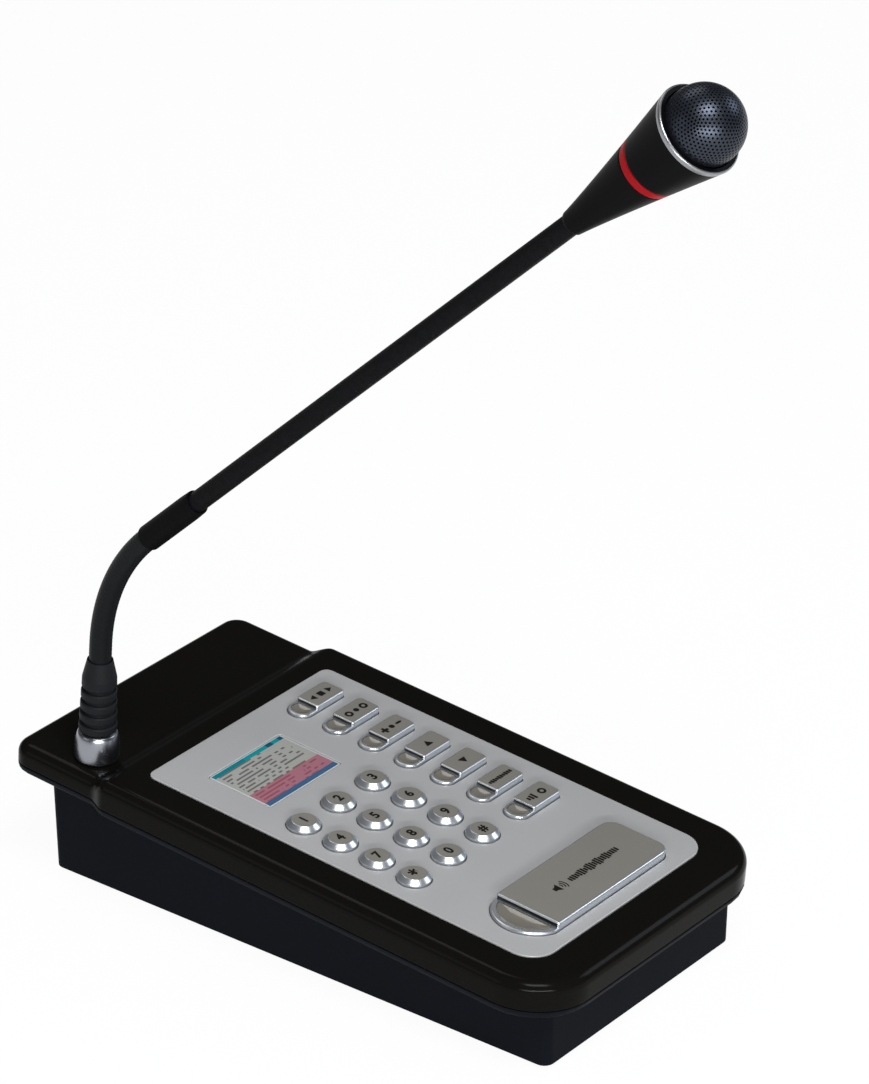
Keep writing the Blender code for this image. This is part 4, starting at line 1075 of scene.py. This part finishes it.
def makeCup():
    # inside wall, rounded lip and flared outside, with the lip's bright outer part as a piece of its own
    length, low, rimLow, cupLow = head.length, head.lipLow, head.rimLow, head.cupLow
    corners = ((head.mouth, low), (head.mouth, length), (head.rim, length), (flare(low), low))
    lip = filleted(corners, (0, head.mouthRound, head.rimRound, 0), 40)
    bright = lip[:, 0] > head.trim
    body = np.vstack((
        lip[~bright][1:],
        ((head.trimIn, rimLow), (flare(rimLow) - head.rimInset, rimLow)),
        flareSide(cupLow + head.edge, rimLow - head.rimGap, 30),
        ((flare(cupLow) - head.cupInset, cupLow), (head.collar, cupLow)),
        head.seat,
    ))
    addTurned("headCup", body, 112, headSpot, "headPlastic", "arm", "head_cup")
    ring = np.vstack((lip[bright], ((lip[bright][0, 0], low),)))
    addTurned("headRim", ring, 128, headSpot, "rimPaint", "arm")


def unit(values):
    return values / np.linalg.norm(values, axis=-1, keepdims=True)


def geodesic(steps):
    # each face of an icosahedron cut into steps x steps small triangles, as unit vectors
    golden = (1 + math.sqrt(5)) / 2
    base = np.array([(0, a, b * golden) for a in (-1, 1) for b in (-1, 1)], float)
    corners = np.vstack((base, base[:, (1, 2, 0)], base[:, (2, 0, 1)]))
    faces = [t for t in itertools.combinations(range(12), 3)
             if all(np.linalg.norm(corners[a] - corners[b]) < 2.1 for a, b in itertools.combinations(t, 2))]
    small = [((i, j), (i + 1, j), (i, j + 1)) for i in range(steps) for j in range(steps - i)]
    small += [((i + 1, j), (i + 1, j + 1), (i, j + 1)) for i in range(steps) for j in range(steps - 1 - i)]
    across, along = np.split(np.array(small) / steps, 2, axis=-1)
    out = [corners[a] + across * (corners[b] - corners[a]) + along * (corners[c] - corners[a])
           for a, b, c in faces]
    return unit(np.concatenate(out))


def perforated():
    # a hole round every corner of a geodesic sphere: each small triangle keeps what its three arcs leave
    triangles = geodesic(grille.holeSteps)
    limit = (grille.low - grille.centre) / grille.sphere
    triangles = triangles[triangles[..., 2].mean(1) > limit]
    hole = grille.holeShare * math.sqrt(4 * math.pi / (10 * grille.holeSteps ** 2))
    share = np.linspace(0, 1, 5)[None, :, None]
    rings = []
    for corner in range(3):
        middle = triangles[:, corner]
        tangents = []
        for other in (corner - 1, corner + 1):
            away = triangles[:, other % 3] - middle
            tangents.append(unit(away - (away * middle).sum(1, keepdims=True) * middle))
        aim = unit(tangents[0][:, None] * (1 - share) + tangents[1][:, None] * share)
        rings.append(unit(middle[:, None] + aim * hole))
    points = np.concatenate(rings, axis=1) * grille.sphere + (0, 0, grille.centre)
    faces = np.arange(points.size // 3).reshape(points.shape[:2])
    mesh = bpy.data.meshes.new("grille")
    mesh.from_pydata(points.reshape(-1, 3).tolist(), [], faces.tolist())
    tidyMesh(mesh, 60.0, 0.004 * mm)
    return changedMesh(mesh, "SOLIDIFY", 50.0, thickness=grille.sheet, offset=-1)


def makeGrille():
    addPiece("grilleDome", perforated(), headSpot, "grilleMetal", "arm", "grille_dome",
             weighted=False)
    skirt = filleted(grille.skirt, grille.skirtRound, 3, closed=True)
    addTurned("grilleSkirt", skirt, 112, headSpot, "grilleMetal", "arm")
    centre, (outer, inner) = (0, grille.centre), grille.lining
    lining = np.vstack((arcPoints(centre, outer, 90, -16, 39), arcPoints(centre, inner, -16, 90, 39)))
    addTurned("grilleLining", lining, 72, headSpot, "liningCloth", "arm", closed=False)


# Underside and inside
foot = inMm(hollow=2, rise=2.3, deep=0.25, fillets=(0, 0.2, 0.7, 0.15, 0.15, 0))
hiddenLooks = {
    "plainSteel": ("display_module", "ballast_plate", "gooseneck_stud", "lock_nut", "mic_capsule",
                   *(f"case_screw_{n}" for n in range(1, 5))),
    "keypadSilicone": ("key_mat",),
    "boardLacquer": ("keypad_board", "main_board"),
    "coverPlastic": ("network_socket", "power_socket"),
}


def makeFeet():
    for n in range(1, 5):
        low, high = localBox(f"rubber_foot_{n}", Matrix.Identity(4))
        radius, inside = (high[0] - low[0]) / 2, low[2] + foot.deep
        corners = ((0, high[2]), (radius, high[2]), (radius, low[2]), (radius - foot.hollow, low[2]),
                   (radius - foot.rise, inside), (0, inside))
        spot = shift(((low[0] + high[0]) / 2, (low[1] + high[1]) / 2, 0))
        addTurned(f"rubberFoot{n}", filleted(corners, foot.fillets), 64, spot, "footRubber", "console",
                  f"rubber_foot_{n}", closed=False)


def paintHidden():
    for finish, nodes in hiddenLooks.items():
        for node in nodes:
            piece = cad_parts[node]
            if not piece.material_slots:
                piece.data.materials.append(finishes[finish])
            for place in piece.material_slots:
                place.material = finishes[finish]


addCamera()
addStudio()
addFloor()
print("studio ready")
makeCover()
makeBase()
print("housing made")
makePanel()
makeNumberKeys()
makeLongKeys()
makeScreen()
print("panel made")
makeNut()
makeBoot()
makeConduit()
makeArm()
print("gooseneck made")
makeHead()
makeCup()
makeGrille()
print("head made")
makeFeet()
paintHidden()
print("inner parts painted")
